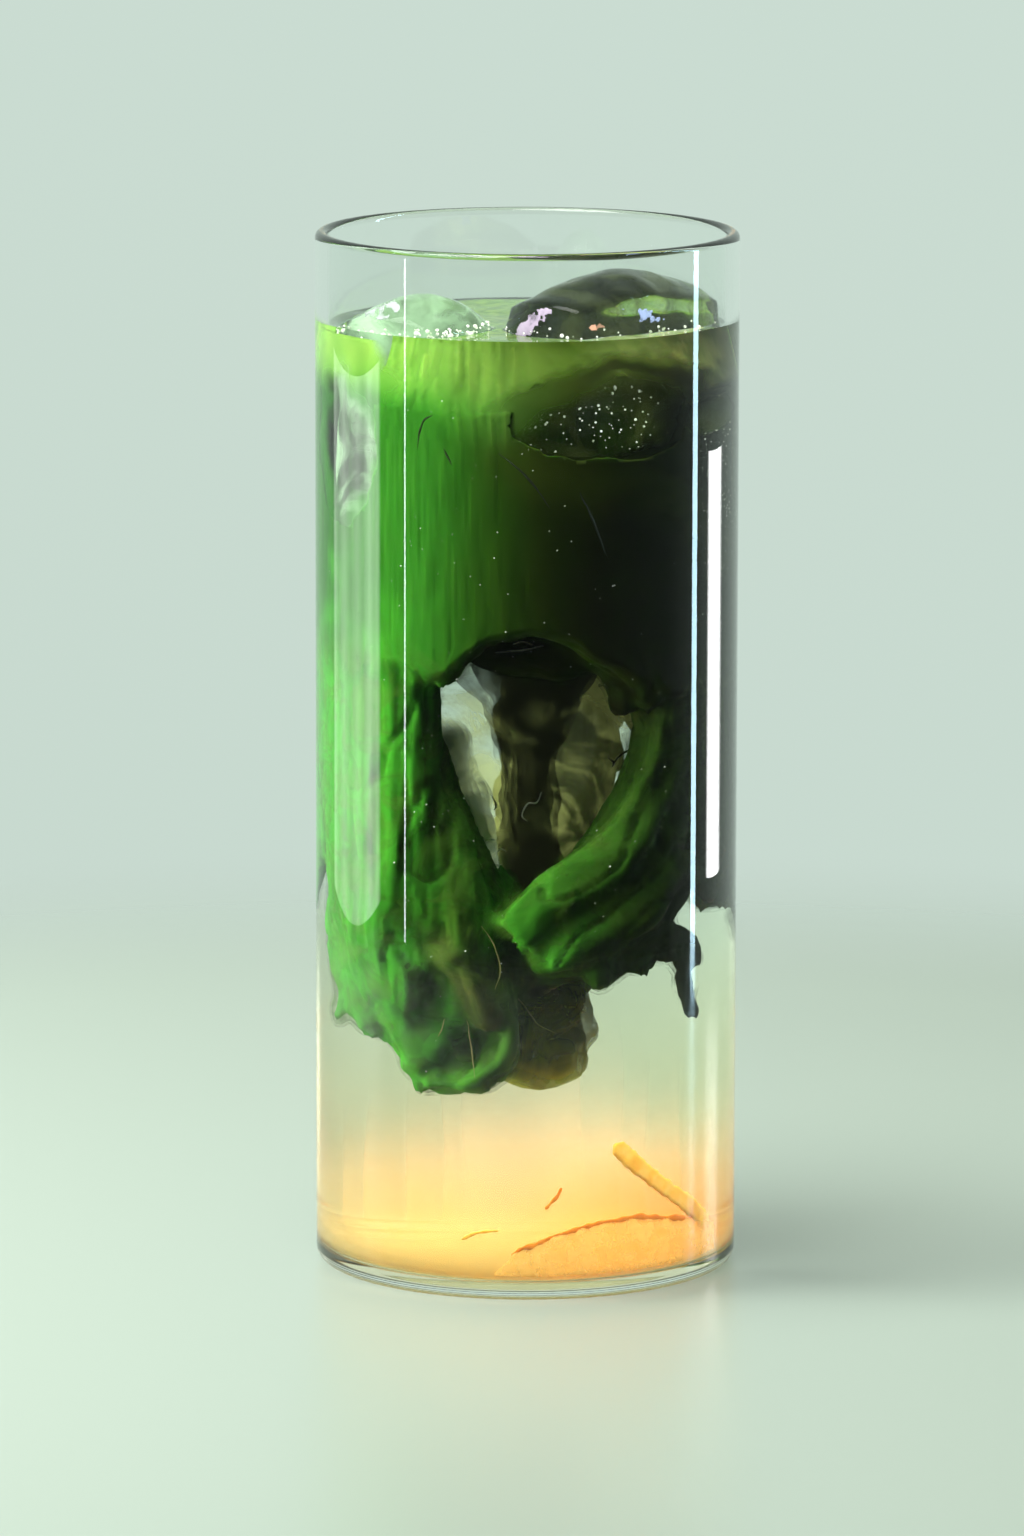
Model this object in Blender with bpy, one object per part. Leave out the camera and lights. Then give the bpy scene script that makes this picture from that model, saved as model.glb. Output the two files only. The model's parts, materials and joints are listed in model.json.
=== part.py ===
# Matcha tonic in a straight glass: glass, citrus syrup, tonic, matcha cloud and two floating ice pieces.
# Metres, +Z up. The origin is the middle of the glass's foot, and -Y is the side that faces the viewer.
import math

import bmesh
import bpy
from mathutils import Matrix, Vector, noise

MM = 0.001

# Driving dimensions
GLASS_HEIGHT = 153 * MM
GLASS_RADIUS = 31 * MM
WALL = 2.0 * MM
FLOOR_THICKNESS = 2.5 * MM
FOOT_FILLET = 2.0 * MM
INNER_FILLET = 1.6 * MM
FILL_LEVEL = 139.5 * MM
SYRUP_LEVEL = 20 * MM
GAP = 0.3 * MM
GLASS_SEGMENTS = 60
ARC_STEPS = 4
SHARP_ANGLE = math.radians(40)
ON_THE_AXIS = 1e-9

# Worked out from them
BORE_RADIUS = GLASS_RADIUS - WALL
DRINK_RADIUS = BORE_RADIUS - GAP
DRINK_FLOOR = FLOOR_THICKNESS + GAP
CLOUD_CLEARANCE = 1.7 * GAP
ICE_CLEARANCE = 1.2 * GAP

# The cloud: voxels of the union, and the faces that are kept of it
CLOUD_VOXEL = 1.3 * MM
CLOUD_FACES = 2900
CLOUD_SMOOTHING = 8

# Sweeps: how close their balls stand, as a share of the smaller radius, and how far a bow of 1 bends the middle
BALL_SPACING = 0.3
FEWEST_BALLS = 3
BOW_REACH = 2

# Plumes are swept blobs. Each end is (angle from the viewer's side, distance from the axis, height),
# in degrees and millimetres, and has its own radius. "bow" bends the middle outwards from the axis.
PLUMES = {
    "cap_middle": {"start": (180, 2, 140), "end": (180, 2, 126), "radii": (33, 30), "bow": 0},
    "cap_front": {"start": (2, 14, 128), "end": (8, 17.5, 103), "radii": (16, 10), "bow": 1},
    "cap_front_left": {"start": (-34, 17, 128), "end": (-37, 19, 98.5), "radii": (14, 9), "bow": 2},
    "cap_front_right": {"start": (35, 17, 126), "end": (44, 18.5, 101), "radii": (15, 12), "bow": 1},
    "cap_back_left": {"start": (-135, 16, 130), "end": (-124, 22, 92), "radii": (14, 7), "bow": 2},
    "cap_back_right": {"start": (140, 16, 130), "end": (116, 22, 84), "radii": (14, 7), "bow": 3},
    "cap_left": {"start": (-85, 17, 128), "end": (-84, 20, 96), "radii": (14, 10), "bow": 1},
    "left_column_outer": {"start": (-74, 21, 104), "end": (-62, 20, 54), "radii": (9, 9), "bow": 2},
    "left_column_inner": {"start": (-50, 22, 84), "end": (-36, 17, 50), "radii": (5.5, 10), "bow": 1},
    "left_bulb": {"start": (-44, 16, 47), "end": (-32, 14.5, 40), "radii": (12, 10.5), "bow": 0},
    "bulb_lip": {"start": (-44, 18, 34), "end": (-14, 16.5, 35.5), "radii": (4.5, 4), "bow": 2},
    "right_wall": {"start": (76, 20, 110), "end": (74, 22, 66), "radii": (11, 9), "bow": 2},
    "right_sheet_high": {"start": (64, 21, 80), "end": (36, 21.5, 66), "radii": (9, 8.5), "bow": 1},
    "right_sheet_low": {"start": (36, 21, 64), "end": (6, 17.5, 54), "radii": (9.5, 8), "bow": 2},
    "right_hem": {"start": (48, 21.5, 60), "end": (20, 18, 52), "radii": (8.5, 7), "bow": 1},
    "middle_bridge": {"start": (6, 12, 52), "end": (-20, 12, 47), "radii": (7, 8), "bow": 0},
    "back_plume": {"start": (170, 8, 112), "end": (176, 4, 60), "radii": (6, 4.5), "bow": 1},
    "back_tail": {"start": (176, 4, 62), "end": (170, 7, 40), "radii": (4.5, 6), "bow": 0},
    "tail_bulb": {"start": (160, 7, 40), "end": (165, 7, 35), "radii": (7, 7), "bow": 0},
    "back_left_drape": {"start": (-112, 22, 96), "end": (-98, 22, 62), "radii": (7, 6), "bow": 1},
    "back_right_drape": {"start": (108, 22, 88), "end": (96, 22, 54), "radii": (7, 6), "bow": 1},
}

# Drips hang from the plumes: (angle, distance from the axis, height of the root, height of the tip), radius
DRIPS = {
    "drip_left": {"place": (-66, 23.5, 52, 39.5), "radius": 2.4},
    "drip_lip": {"place": (-46, 20, 36, 28), "radius": 2.0},
    "drip_hem_one": {"place": (25, 21, 50, 42.5), "radius": 2.6},
    "drip_hem_two": {"place": (38, 22.5, 52, 45.5), "radius": 2.2},
    "drip_long": {"place": (60, 24, 56, 39), "radius": 2.1},
    "drip_back": {"place": (104, 23, 56, 42), "radius": 2.2},
}
DRIP_INSET = 2
DRIP_SHOULDER = 1.4

# Ice: centre in millimetres, half sizes, turn about X, Y and Z in degrees, and the noise seed of its melted faces
ICE = {
    "ice_right": {"centre": (12.9, -3.6, 128.8), "half": (18, 9.4, 17.8), "turn": (-1, 1, 42), "seed": 3},
    "ice_left": {"centre": (-17.2, -9.5, 124.9), "half": (8.2, 9.3, 18.5), "turn": (-6, 6, -28), "seed": 8},
}
ICE_ROUNDNESS = 0.62
ICE_DENT = 0.9 * MM
ICE_DENT_SCALE = 1.3
ICE_CUTS = 5
EGG_SIZE = 1.12


def clear_scene():
    for obj in list(bpy.data.objects):
        bpy.data.objects.remove(obj, do_unlink=True)


def material(name, colour, roughness, transmission=0.0, ior=1.45):
    made = bpy.data.materials.new(name)
    made.use_nodes = True
    shader = made.node_tree.nodes["Principled BSDF"]
    shader.inputs["Base Color"].default_value = (*colour, 1)
    shader.inputs["Roughness"].default_value = roughness
    shader.inputs["Transmission Weight"].default_value = transmission
    shader.inputs["IOR"].default_value = ior
    return made


def add_object(name, mesh, finish=None):
    obj = bpy.data.objects.new(name, mesh)
    bpy.context.scene.collection.objects.link(obj)
    if finish is not None:
        obj.data.materials.append(finish)
    return obj


def as_helper(obj):
    """Marks a cutter, which the model leaves out."""
    obj.hide_render = True
    obj.display_type = "WIRE"
    return obj


def evaluated_copy(obj):
    """A plain mesh of the object as its modifiers leave it."""
    graph = bpy.context.evaluated_depsgraph_get()
    return bpy.data.meshes.new_from_object(obj.evaluated_get(graph))


def arc(centre_r, centre_z, radius, first_deg, last_deg):
    """Points of an arc in the (radius, height) plane, both ends included."""
    for step in range(ARC_STEPS + 1):
        angle = math.radians(first_deg + (last_deg - first_deg) * step / ARC_STEPS)
        yield centre_r + radius * math.cos(angle), centre_z + radius * math.sin(angle)


def turned(name, profile, finish=None):
    """A solid of revolution about Z. The profile runs from the axis, round the outside, and back to the axis."""
    shape = bmesh.new()
    rings = []
    for radius, height in profile:
        if radius < ON_THE_AXIS:
            rings.append([shape.verts.new((0, 0, height))])
            continue
        angles = [2 * math.pi * step / GLASS_SEGMENTS for step in range(GLASS_SEGMENTS)]
        rings.append([shape.verts.new((radius * math.cos(a), radius * math.sin(a), height)) for a in angles])
    for low, high in zip(rings, rings[1:]):
        for step in range(GLASS_SEGMENTS):
            after = (step + 1) % GLASS_SEGMENTS
            corners = [low[step % len(low)], low[after % len(low)], high[after % len(high)], high[step % len(high)]]
            shape.faces.new(list(dict.fromkeys(corners)))
    bmesh.ops.recalc_face_normals(shape, faces=shape.faces)
    mesh = bpy.data.meshes.new(name)
    shape.to_mesh(mesh)
    shape.free()
    mesh.shade_smooth()
    mesh.set_sharp_from_angle(angle=SHARP_ANGLE)
    return add_object(name, mesh, finish)


def make_glass():
    """A straight tumbler: thin wall, flat foot with a soft corner, and a fire-polished rim."""
    rim = WALL / 2
    profile = [(0, 0), (GLASS_RADIUS - FOOT_FILLET, 0)]
    profile += list(arc(GLASS_RADIUS - FOOT_FILLET, FOOT_FILLET, FOOT_FILLET, -90, 0))[1:]
    profile += list(arc(GLASS_RADIUS - rim, GLASS_HEIGHT - rim, rim, 0, 180))
    profile += list(arc(BORE_RADIUS - INNER_FILLET, FLOOR_THICKNESS + INNER_FILLET, INNER_FILLET, 0, -90))
    profile += [(0, FLOOR_THICKNESS)]
    return turned("glass", profile, material("clear_glass", (0.93, 0.98, 0.96), 0.02, 1.0, 1.5))


def drink_profile(low, high):
    """The inside of the glass between two heights, one gap away from the glass."""
    profile = [(0, low)]
    if low <= DRINK_FLOOR:
        profile += list(arc(DRINK_RADIUS - INNER_FILLET, low + INNER_FILLET, INNER_FILLET, -90, 0))
    else:
        profile += [(DRINK_RADIUS, low)]
    return profile + [(DRINK_RADIUS, high), (0, high)]


def polar(angle_deg, distance, height):
    """A point from its angle off the viewer's side, its distance from the axis and its height, all in mm."""
    angle = math.radians(angle_deg)
    return Vector((distance * math.sin(angle), -distance * math.cos(angle), height)) * MM


def add_ball(shape, centre, radius):
    bmesh.ops.create_icosphere(shape, subdivisions=2, radius=radius, matrix=Matrix.Translation(centre))


def add_sweep(shape, start, end, radii, bow):
    """Balls along a bowed line, close enough to fuse into one plume."""
    middle = (start + end) / 2
    outwards = Vector((middle.x, middle.y, 0))
    if outwards.length > 0:
        middle += outwards.normalized() * bow * BOW_REACH
    length = (end - start).length
    count = max(FEWEST_BALLS, math.ceil(length / (BALL_SPACING * min(radii))) + 1)
    for step in range(count):
        t = step / (count - 1)
        point = start * (1 - t) ** 2 + middle * 2 * t * (1 - t) + end * t ** 2
        add_ball(shape, point, radii[0] + (radii[1] - radii[0]) * t)


def cloud_blobs():
    """All plumes and drips as loose balls in one mesh, before they are fused."""
    shape = bmesh.new()
    for plume in PLUMES.values():
        radii = [r * MM for r in plume["radii"]]
        add_sweep(shape, polar(*plume["start"]), polar(*plume["end"]), radii, plume["bow"] * MM)
    for drip in DRIPS.values():
        angle, distance, root, tip = drip["place"]
        radius = drip["radius"] * MM
        tip_centre = polar(angle, distance, tip) + Vector((0, 0, radius))
        add_sweep(shape, polar(angle, distance - DRIP_INSET, root), tip_centre, [radius * DRIP_SHOULDER, radius], 0)
    mesh = bpy.data.meshes.new("cloud_blobs")
    shape.to_mesh(mesh)
    shape.free()
    return add_object("cloud_blobs", mesh)


def largest_body(mesh):
    """Keeps the biggest connected body of a mesh, and drops crumbs that a cut left loose."""
    shape = bmesh.new()
    shape.from_mesh(mesh)
    unseen = set(shape.verts)
    bodies = []
    while unseen:
        body, edge = set(), [unseen.pop()]
        while edge:
            vert = edge.pop()
            body.add(vert)
            near = {e.other_vert(vert) for e in vert.link_edges} & unseen
            unseen -= near
            edge.extend(near)
        bodies.append(body)
    keep = max(bodies, key=len)
    bmesh.ops.delete(shape, geom=[v for v in shape.verts if v not in keep], context="VERTS")
    shape.to_mesh(mesh)
    shape.free()
    return mesh


def add_boolean(obj, name, operation, other):
    """Adds a Boolean. The cloud folds over itself in places, and only the manifold solver cuts that cleanly."""
    cut = obj.modifiers.new(name, "BOOLEAN")
    cut.operation = operation
    cut.object = other
    cut.solver = "MANIFOLD"


def offset_cutter(name, mesh, distance):
    """A copy of a mesh grown by a distance, to cut a neighbour with."""
    cutter = as_helper(add_object(name, mesh.copy()))
    grow = cutter.modifiers.new("grow", "DISPLACE")
    grow.strength = distance
    grow.mid_level = 0
    return cutter


def make_matcha(ice_cutters):
    """The cloud: fused plumes, cut flat at the glass and at the surface, and round the ice."""
    blobs = cloud_blobs()
    fuse = blobs.modifiers.new("fuse", "REMESH")
    fuse.mode = "VOXEL"
    fuse.voxel_size = CLOUD_VOXEL
    soften = blobs.modifiers.new("soften", "SMOOTH")
    soften.iterations = CLOUD_SMOOTHING
    fused = evaluated_copy(blobs)
    bpy.data.objects.remove(blobs, do_unlink=True)

    finish = material("matcha_green", (0.045, 0.27, 0.015), 0.6)
    cloud = add_object("matcha", fused, finish)
    thin = cloud.modifiers.new("fewer_faces", "DECIMATE")
    thin.ratio = CLOUD_FACES / len(fused.loop_triangles)
    bore = as_helper(turned("cloud_bore", drink_profile(SYRUP_LEVEL + GAP, FILL_LEVEL)))
    add_boolean(cloud, "inside_the_glass", "INTERSECT", bore)
    for cutter in ice_cutters:
        add_boolean(cloud, "round_" + cutter.name, "DIFFERENCE", cutter)
    whole = largest_body(evaluated_copy(cloud))
    cloud.modifiers.clear()
    cloud.data = whole
    return cloud


def make_ice(name, spec):
    """A melted cube: a subdivided box drawn towards an egg shape, with shallow dents."""
    shape = bmesh.new()
    bmesh.ops.create_cube(shape, size=2)
    bmesh.ops.subdivide_edges(shape, edges=shape.edges, cuts=ICE_CUTS, use_grid_fill=True)
    half = Vector(spec["half"]) * MM
    turn = Matrix.Identity(3)
    for angle, axis in zip(spec["turn"], "XYZ"):
        turn = Matrix.Rotation(math.radians(angle), 3, axis) @ turn
    for vert in shape.verts:
        boxy = vert.co.copy()
        eggy = boxy.normalized() * EGG_SIZE
        out = boxy.lerp(eggy, ICE_ROUNDNESS)
        dent = noise.noise(boxy * ICE_DENT_SCALE + Vector((spec["seed"], 0, 0))) * ICE_DENT
        local = Vector((out.x * half.x, out.y * half.y, out.z * half.z)) + boxy.normalized() * dent
        vert.co = turn @ local + Vector(spec["centre"]) * MM
    for vert in shape.verts:
        reach = math.hypot(vert.co.x, vert.co.y)
        limit = DRINK_RADIUS / max(reach, DRINK_RADIUS)
        vert.co.x *= limit
        vert.co.y *= limit
    mesh = bpy.data.meshes.new(name)
    shape.to_mesh(mesh)
    shape.free()
    mesh.shade_smooth()
    return add_object(name, mesh, material(name + "_clear", (0.86, 0.95, 0.9), 0.08, 1.0, 1.31))


def make_tonic(matcha, ice_cutters):
    """The clear drink: the glass's inside between syrup and surface, cut round the cloud and the ice."""
    profile = drink_profile(SYRUP_LEVEL + GAP, FILL_LEVEL - GAP)
    tonic = turned("tonic", profile, material("tonic_pale", (0.86, 0.9, 0.6), 0.03, 1.0, 1.33))
    cloud_cutter = offset_cutter("cloud_cutter", matcha.data, CLOUD_CLEARANCE)
    add_boolean(tonic, "round_the_cloud", "DIFFERENCE", cloud_cutter)
    add_boolean(tonic, "out_of_its_creases", "DIFFERENCE", matcha)
    for cutter in ice_cutters:
        add_boolean(tonic, "round_" + cutter.name, "DIFFERENCE", cutter)
    whole = largest_body(evaluated_copy(tonic))
    tonic.modifiers.clear()
    tonic.data = whole
    return tonic


def make_syrup():
    """The sweet citrus layer that has sunk to the bottom."""
    profile = drink_profile(DRINK_FLOOR, SYRUP_LEVEL)
    return turned("syrup", profile, material("citrus_syrup", (0.93, 0.62, 0.16), 0.03, 0.8, 1.36))


def main():
    clear_scene()
    make_glass()
    make_syrup()
    ice = [make_ice(name, spec) for name, spec in ICE.items()]
    cutters = [offset_cutter(piece.name + "_cutter", piece.data, ICE_CLEARANCE) for piece in ice]
    matcha = make_matcha(cutters)
    make_tonic(matcha, cutters)


main()
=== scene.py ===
# Looks of the matcha tonic: glass, drink, matcha cloud, ice, bubbles and citrus peel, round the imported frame.
# Metres, +Z up, -Y towards the viewer.
import json
import math
import random

import bmesh
import bpy
import numpy as np
from mathutils import Matrix, Vector, kdtree, noise
from mathutils.bvhtree import BVHTree

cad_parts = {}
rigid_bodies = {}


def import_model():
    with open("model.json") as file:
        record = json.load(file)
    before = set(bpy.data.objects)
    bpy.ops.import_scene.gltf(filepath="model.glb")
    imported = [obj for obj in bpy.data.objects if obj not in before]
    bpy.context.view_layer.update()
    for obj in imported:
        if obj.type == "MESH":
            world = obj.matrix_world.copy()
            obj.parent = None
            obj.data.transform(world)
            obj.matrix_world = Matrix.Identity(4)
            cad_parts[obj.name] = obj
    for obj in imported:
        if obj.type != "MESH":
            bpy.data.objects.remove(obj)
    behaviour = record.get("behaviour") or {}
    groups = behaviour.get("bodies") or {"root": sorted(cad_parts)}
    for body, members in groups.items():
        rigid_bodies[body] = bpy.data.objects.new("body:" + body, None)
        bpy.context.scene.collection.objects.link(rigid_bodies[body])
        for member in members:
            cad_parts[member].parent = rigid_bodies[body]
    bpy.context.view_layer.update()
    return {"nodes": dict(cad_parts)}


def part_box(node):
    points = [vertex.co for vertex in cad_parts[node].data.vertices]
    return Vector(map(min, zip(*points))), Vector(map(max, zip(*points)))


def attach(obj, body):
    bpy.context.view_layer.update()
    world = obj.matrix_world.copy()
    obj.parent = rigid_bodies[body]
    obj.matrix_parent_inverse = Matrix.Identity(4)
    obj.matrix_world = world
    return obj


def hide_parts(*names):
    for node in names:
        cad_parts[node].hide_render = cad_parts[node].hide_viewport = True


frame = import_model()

mm = 0.001
scene = bpy.context.scene
noise.seed_set(11)    # or noise_vector differs from run to run

# Heights and radii are read off the frame
glassLow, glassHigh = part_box("glass")
tonicLow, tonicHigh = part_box("tonic")
syrupLow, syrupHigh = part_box("syrup")
matchaLow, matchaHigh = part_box("matcha")
outerRadius = glassHigh.x
rimHeight = glassHigh.z
boreRadius = syrupHigh.x + 0.3 * mm
floorTop = syrupLow.z - 0.3 * mm
fillLevel = matchaHigh.z
syrupLevel = syrupHigh.z


# Small helpers

def addPiece(name, mesh, finish=None):
    obj = bpy.data.objects.new(name, mesh)
    scene.collection.objects.link(obj)
    if finish is not None:
        mesh.materials.clear()
        mesh.materials.append(finish)
    return obj


def meshFrom(name, points, faces):
    mesh = bpy.data.meshes.new(name)
    mesh.from_pydata(points, [], faces)
    mesh.update()
    mesh.shade_smooth()
    return mesh


def reshape(mesh, change):
    # Runs one change on the mesh as a bmesh
    shape = bmesh.new()
    shape.from_mesh(mesh)
    change(shape)
    shape.to_mesh(mesh)
    shape.free()


def outwards(mesh):
    reshape(mesh, lambda shape: bmesh.ops.recalc_face_normals(shape, faces=shape.faces))


def ballMesh(name, placed):
    # A fine ball, each point moved to where placed(point) says
    mesh = bpy.data.meshes.new(name)

    def shaped(shape):
        bmesh.ops.create_icosphere(shape, subdivisions=5, radius=1)
        for vert in shape.verts:
            vert.co = placed(vert.co.copy())
    reshape(mesh, shaped)
    mesh.shade_smooth()
    return mesh


def arrays(mesh):
    count = len(mesh.vertices)
    points = np.empty(count * 3)
    normals = np.empty(count * 3, np.float32)
    edges = np.empty(len(mesh.edges) * 2, np.int32)
    mesh.vertices.foreach_get("co", points)
    mesh.vertex_normals.foreach_get("vector", normals)
    mesh.edges.foreach_get("vertices", edges)
    return points.reshape(-1, 3), normals.reshape(-1, 3).astype(float), edges.reshape(-1, 2)


def place(mesh, points):
    mesh.vertices.foreach_set("co", np.ascontiguousarray(points, np.float32).ravel())
    mesh.update()


def store(mesh, name, values):
    # One number or one colour for each point
    values = np.asarray(values, np.float32)
    kind, key = ("FLOAT", "value") if values.ndim == 1 else ("FLOAT_VECTOR", "vector")
    mesh.attributes.new(name, kind, "POINT").data.foreach_set(key, values.ravel())


def forget(mesh, names):
    for name in names:
        if name in mesh.attributes:
            mesh.attributes.remove(mesh.attributes[name])


def keepInside(points, radius):
    # Pulls points back to the radius
    reach = np.hypot(points[:, 0], points[:, 1])
    points[:, :2] *= np.minimum(1, radius / np.maximum(reach, 1e-6))[:, None]


def coat(mesh, finish):
    # One finish all over
    mesh.materials.clear()
    mesh.materials.append(finish)
    mesh.polygons.foreach_set("material_index", np.zeros(len(mesh.polygons), np.int32))


def settle(obj):
    # Applies the modifiers for good
    mesh = bpy.data.meshes.new_from_object(obj.evaluated_get(bpy.context.evaluated_depsgraph_get()))
    old = obj.data
    obj.modifiers.clear()
    obj.data = mesh
    bpy.data.meshes.remove(old)
    return obj


def discard(*objs):
    for obj in objs:
        bpy.data.objects.remove(obj, do_unlink=True)


def fuse(obj, size):
    # Makes one even skin of whatever overlaps
    modifier = obj.modifiers.new("fuse", "REMESH")
    modifier.mode = "VOXEL"
    modifier.voxel_size = size


def offsetCopy(obj, name, distance):
    copy = addPiece(name, obj.data.copy())
    grow = copy.modifiers.new("grow", "DISPLACE")
    grow.strength = distance
    grow.mid_level = 0
    return settle(copy)


def cut(obj, other):
    boolean = obj.modifiers.new("cut", "BOOLEAN")
    boolean.operation = "DIFFERENCE"
    boolean.object = other
    boolean.solver = "MANIFOLD"


def polar(angle, distance, height):
    # Angle in degrees from the viewer's side towards +X, distance and height in millimetres
    a = math.radians(angle)
    return Vector((distance * math.sin(a), -distance * math.cos(a), height)) * mm


def arc(centreR, centreZ, radius, first, last, steps):
    for step in range(steps + 1):
        a = math.radians(first + (last - first) * step / steps)
        yield centreR + radius * math.cos(a), centreZ + radius * math.sin(a)


def turnedMesh(name, profile, segments, heightAt=None):
    # A closed solid of revolution. heightAt(x, y, z) may lift single points.
    points, rings = [], []
    for radius, z in profile:
        first = len(points)
        if radius < 1e-9:
            points.append((0, 0, z))
            rings.append((first, 1))
            continue
        for step in range(segments):
            a = 2 * math.pi * step / segments
            points.append((radius * math.cos(a), radius * math.sin(a), z))
        rings.append((first, segments))
    if heightAt is not None:
        points = [heightAt(*p) for p in points]
    faces = []
    for (lowFirst, lowCount), (highFirst, highCount) in zip(rings, rings[1:]):
        for step in range(segments):
            after = (step + 1) % segments
            corners = (lowFirst + step % lowCount, lowFirst + after % lowCount,
                       highFirst + after % highCount, highFirst + step % highCount)
            faces.append(tuple(dict.fromkeys(corners)))
    return meshFrom(name, points, faces)


def newMaterial(name):
    made = bpy.data.materials.new(name)
    made.use_nodes = True
    tree = made.node_tree
    return made, tree, tree.nodes["Principled BSDF"]


def setInputs(node, **values):
    for key, value in values.items():
        node.inputs[key.replace("_", " ")].default_value = value


def addNode(tree, kind, **values):
    # Settings of the node itself, or its inputs with _ for a space
    node = tree.nodes.new(kind)
    for key, value in values.items():
        if hasattr(node, key):
            setattr(node, key, value)
        else:
            setInputs(node, **{key: value})
    return node


def noiseOn(tree, coordinates, **values):
    node = addNode(tree, "ShaderNodeTexNoise", **values)
    tree.links.new(coordinates, node.inputs["Vector"])
    return node.outputs["Fac"]


def attributeOf(tree, name, output="Fac"):
    return addNode(tree, "ShaderNodeAttribute", attribute_name=name).outputs[output]


def bumpFrom(tree, height, shader, strength, distance):
    bump = addNode(tree, "ShaderNodeBump", Strength=strength, Distance=distance)
    tree.links.new(height, bump.inputs["Height"])
    tree.links.new(bump.outputs["Normal"], shader.inputs["Normal"])


def ramp(tree, factor, stops):
    node = tree.nodes.new("ShaderNodeValToRGB")
    while len(node.color_ramp.elements) < len(stops):
        node.color_ramp.elements.new(0.5)
    for element, (at, colour) in zip(node.color_ramp.elements, stops):
        element.position = at
        element.color = (*colour, 1) if len(colour) == 3 else colour
    tree.links.new(factor, node.inputs["Fac"])
    return node.outputs["Color"]


def mapRange(tree, value, low, high, toLow=0.0, toHigh=1.0):
    node = tree.nodes.new("ShaderNodeMapRange")
    node.interpolation_type = "SMOOTHSTEP"
    for key, number in (("From Min", low), ("From Max", high), ("To Min", toLow), ("To Max", toHigh)):
        node.inputs[key].default_value = number
    tree.links.new(value, node.inputs["Value"])
    return node.outputs["Result"]


def mathNode(tree, operation, a, b):
    node = tree.nodes.new("ShaderNodeMath")
    node.operation = operation
    for socket, value in zip(node.inputs, (a, b)):
        if isinstance(value, (int, float)):
            socket.default_value = value
        else:
            tree.links.new(value, socket)
    return node.outputs[0]


def mixColour(tree, factor, a, b, blend="MIX"):
    node = tree.nodes.new("ShaderNodeMix")
    node.data_type = "RGBA"
    node.blend_type = blend
    for socket, value in ((node.inputs[0], factor), (node.inputs[6], a), (node.inputs[7], b)):
        if isinstance(value, (int, float)):
            socket.default_value = value
        elif isinstance(value, tuple):
            socket.default_value = (*value, 1)
        else:
            tree.links.new(value, socket)
    return node.outputs[2]


def placeOf(tree):
    return tree.nodes.new("ShaderNodeTexCoord").outputs["Object"]


def heightOf(tree):
    # The place on the piece in metres, whole and split
    where = placeOf(tree)
    split = tree.nodes.new("ShaderNodeSeparateXYZ")
    tree.links.new(where, split.inputs[0])
    return where, split.outputs


def finishPiece(obj, replaced=(), shadow=True):
    obj.visible_shadow = shadow
    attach(obj, "root")
    if replaced:
        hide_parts(*replaced)
    return obj


# Camera, floor, world and lamps

cameraSetup = {"lens": 215, "distance": 1.330, "height": 0.307, "aimHeight": 0.0734, "aside": -0.0021,
               "roll": 0.11}


def makeCamera():
    data = bpy.data.cameras.new("camera")
    data.lens = cameraSetup["lens"]
    data.clip_start = 0.05
    data.clip_end = 20
    obj = bpy.data.objects.new("camera", data)
    scene.collection.objects.link(obj)
    obj.location = (cameraSetup["aside"], -cameraSetup["distance"], cameraSetup["height"])
    aim = Vector((cameraSetup["aside"], 0, cameraSetup["aimHeight"])) - obj.location
    roll = Matrix.Rotation(math.radians(cameraSetup["roll"]), 3, "Z")
    turn = aim.to_track_quat("-Z", "Y").to_matrix() @ roll
    obj.rotation_euler = turn.to_euler()
    scene.camera = obj


stage = {
    "wall": (0.617, 0.745, 0.668),
    "ambient": (0.10, 0.11, 0.09),      # what the world lends to the pieces
    "room": (0.02, 0.022, 0.02),
    "floor": (0.52, 0.63, 0.54),
    "floorRadius": 0.34,
    "floorFade": 0.20,
}


def makeFloor():
    radius = stage["floorRadius"]
    profile = [(0, 0)] + [(radius * step / 12, 0) for step in range(1, 13)]
    mesh = turnedMesh("floor", profile, 96)
    finish, tree, shader = newMaterial("floorPale")
    setInputs(shader, Base_Color=(*stage["floor"], 1), Roughness=0.32, Specular_IOR_Level=0.35)
    coordinates = placeOf(tree)
    length = tree.nodes.new("ShaderNodeVectorMath")
    length.operation = "LENGTH"
    tree.links.new(coordinates, length.inputs[0])
    fade = mapRange(tree, length.outputs["Value"], stage["floorFade"], radius * 0.98, 1, 0)
    tree.links.new(fade, shader.inputs["Alpha"])
    obj = addPiece("floor", mesh, finish)
    obj.location.z = -0.05 * mm


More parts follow.
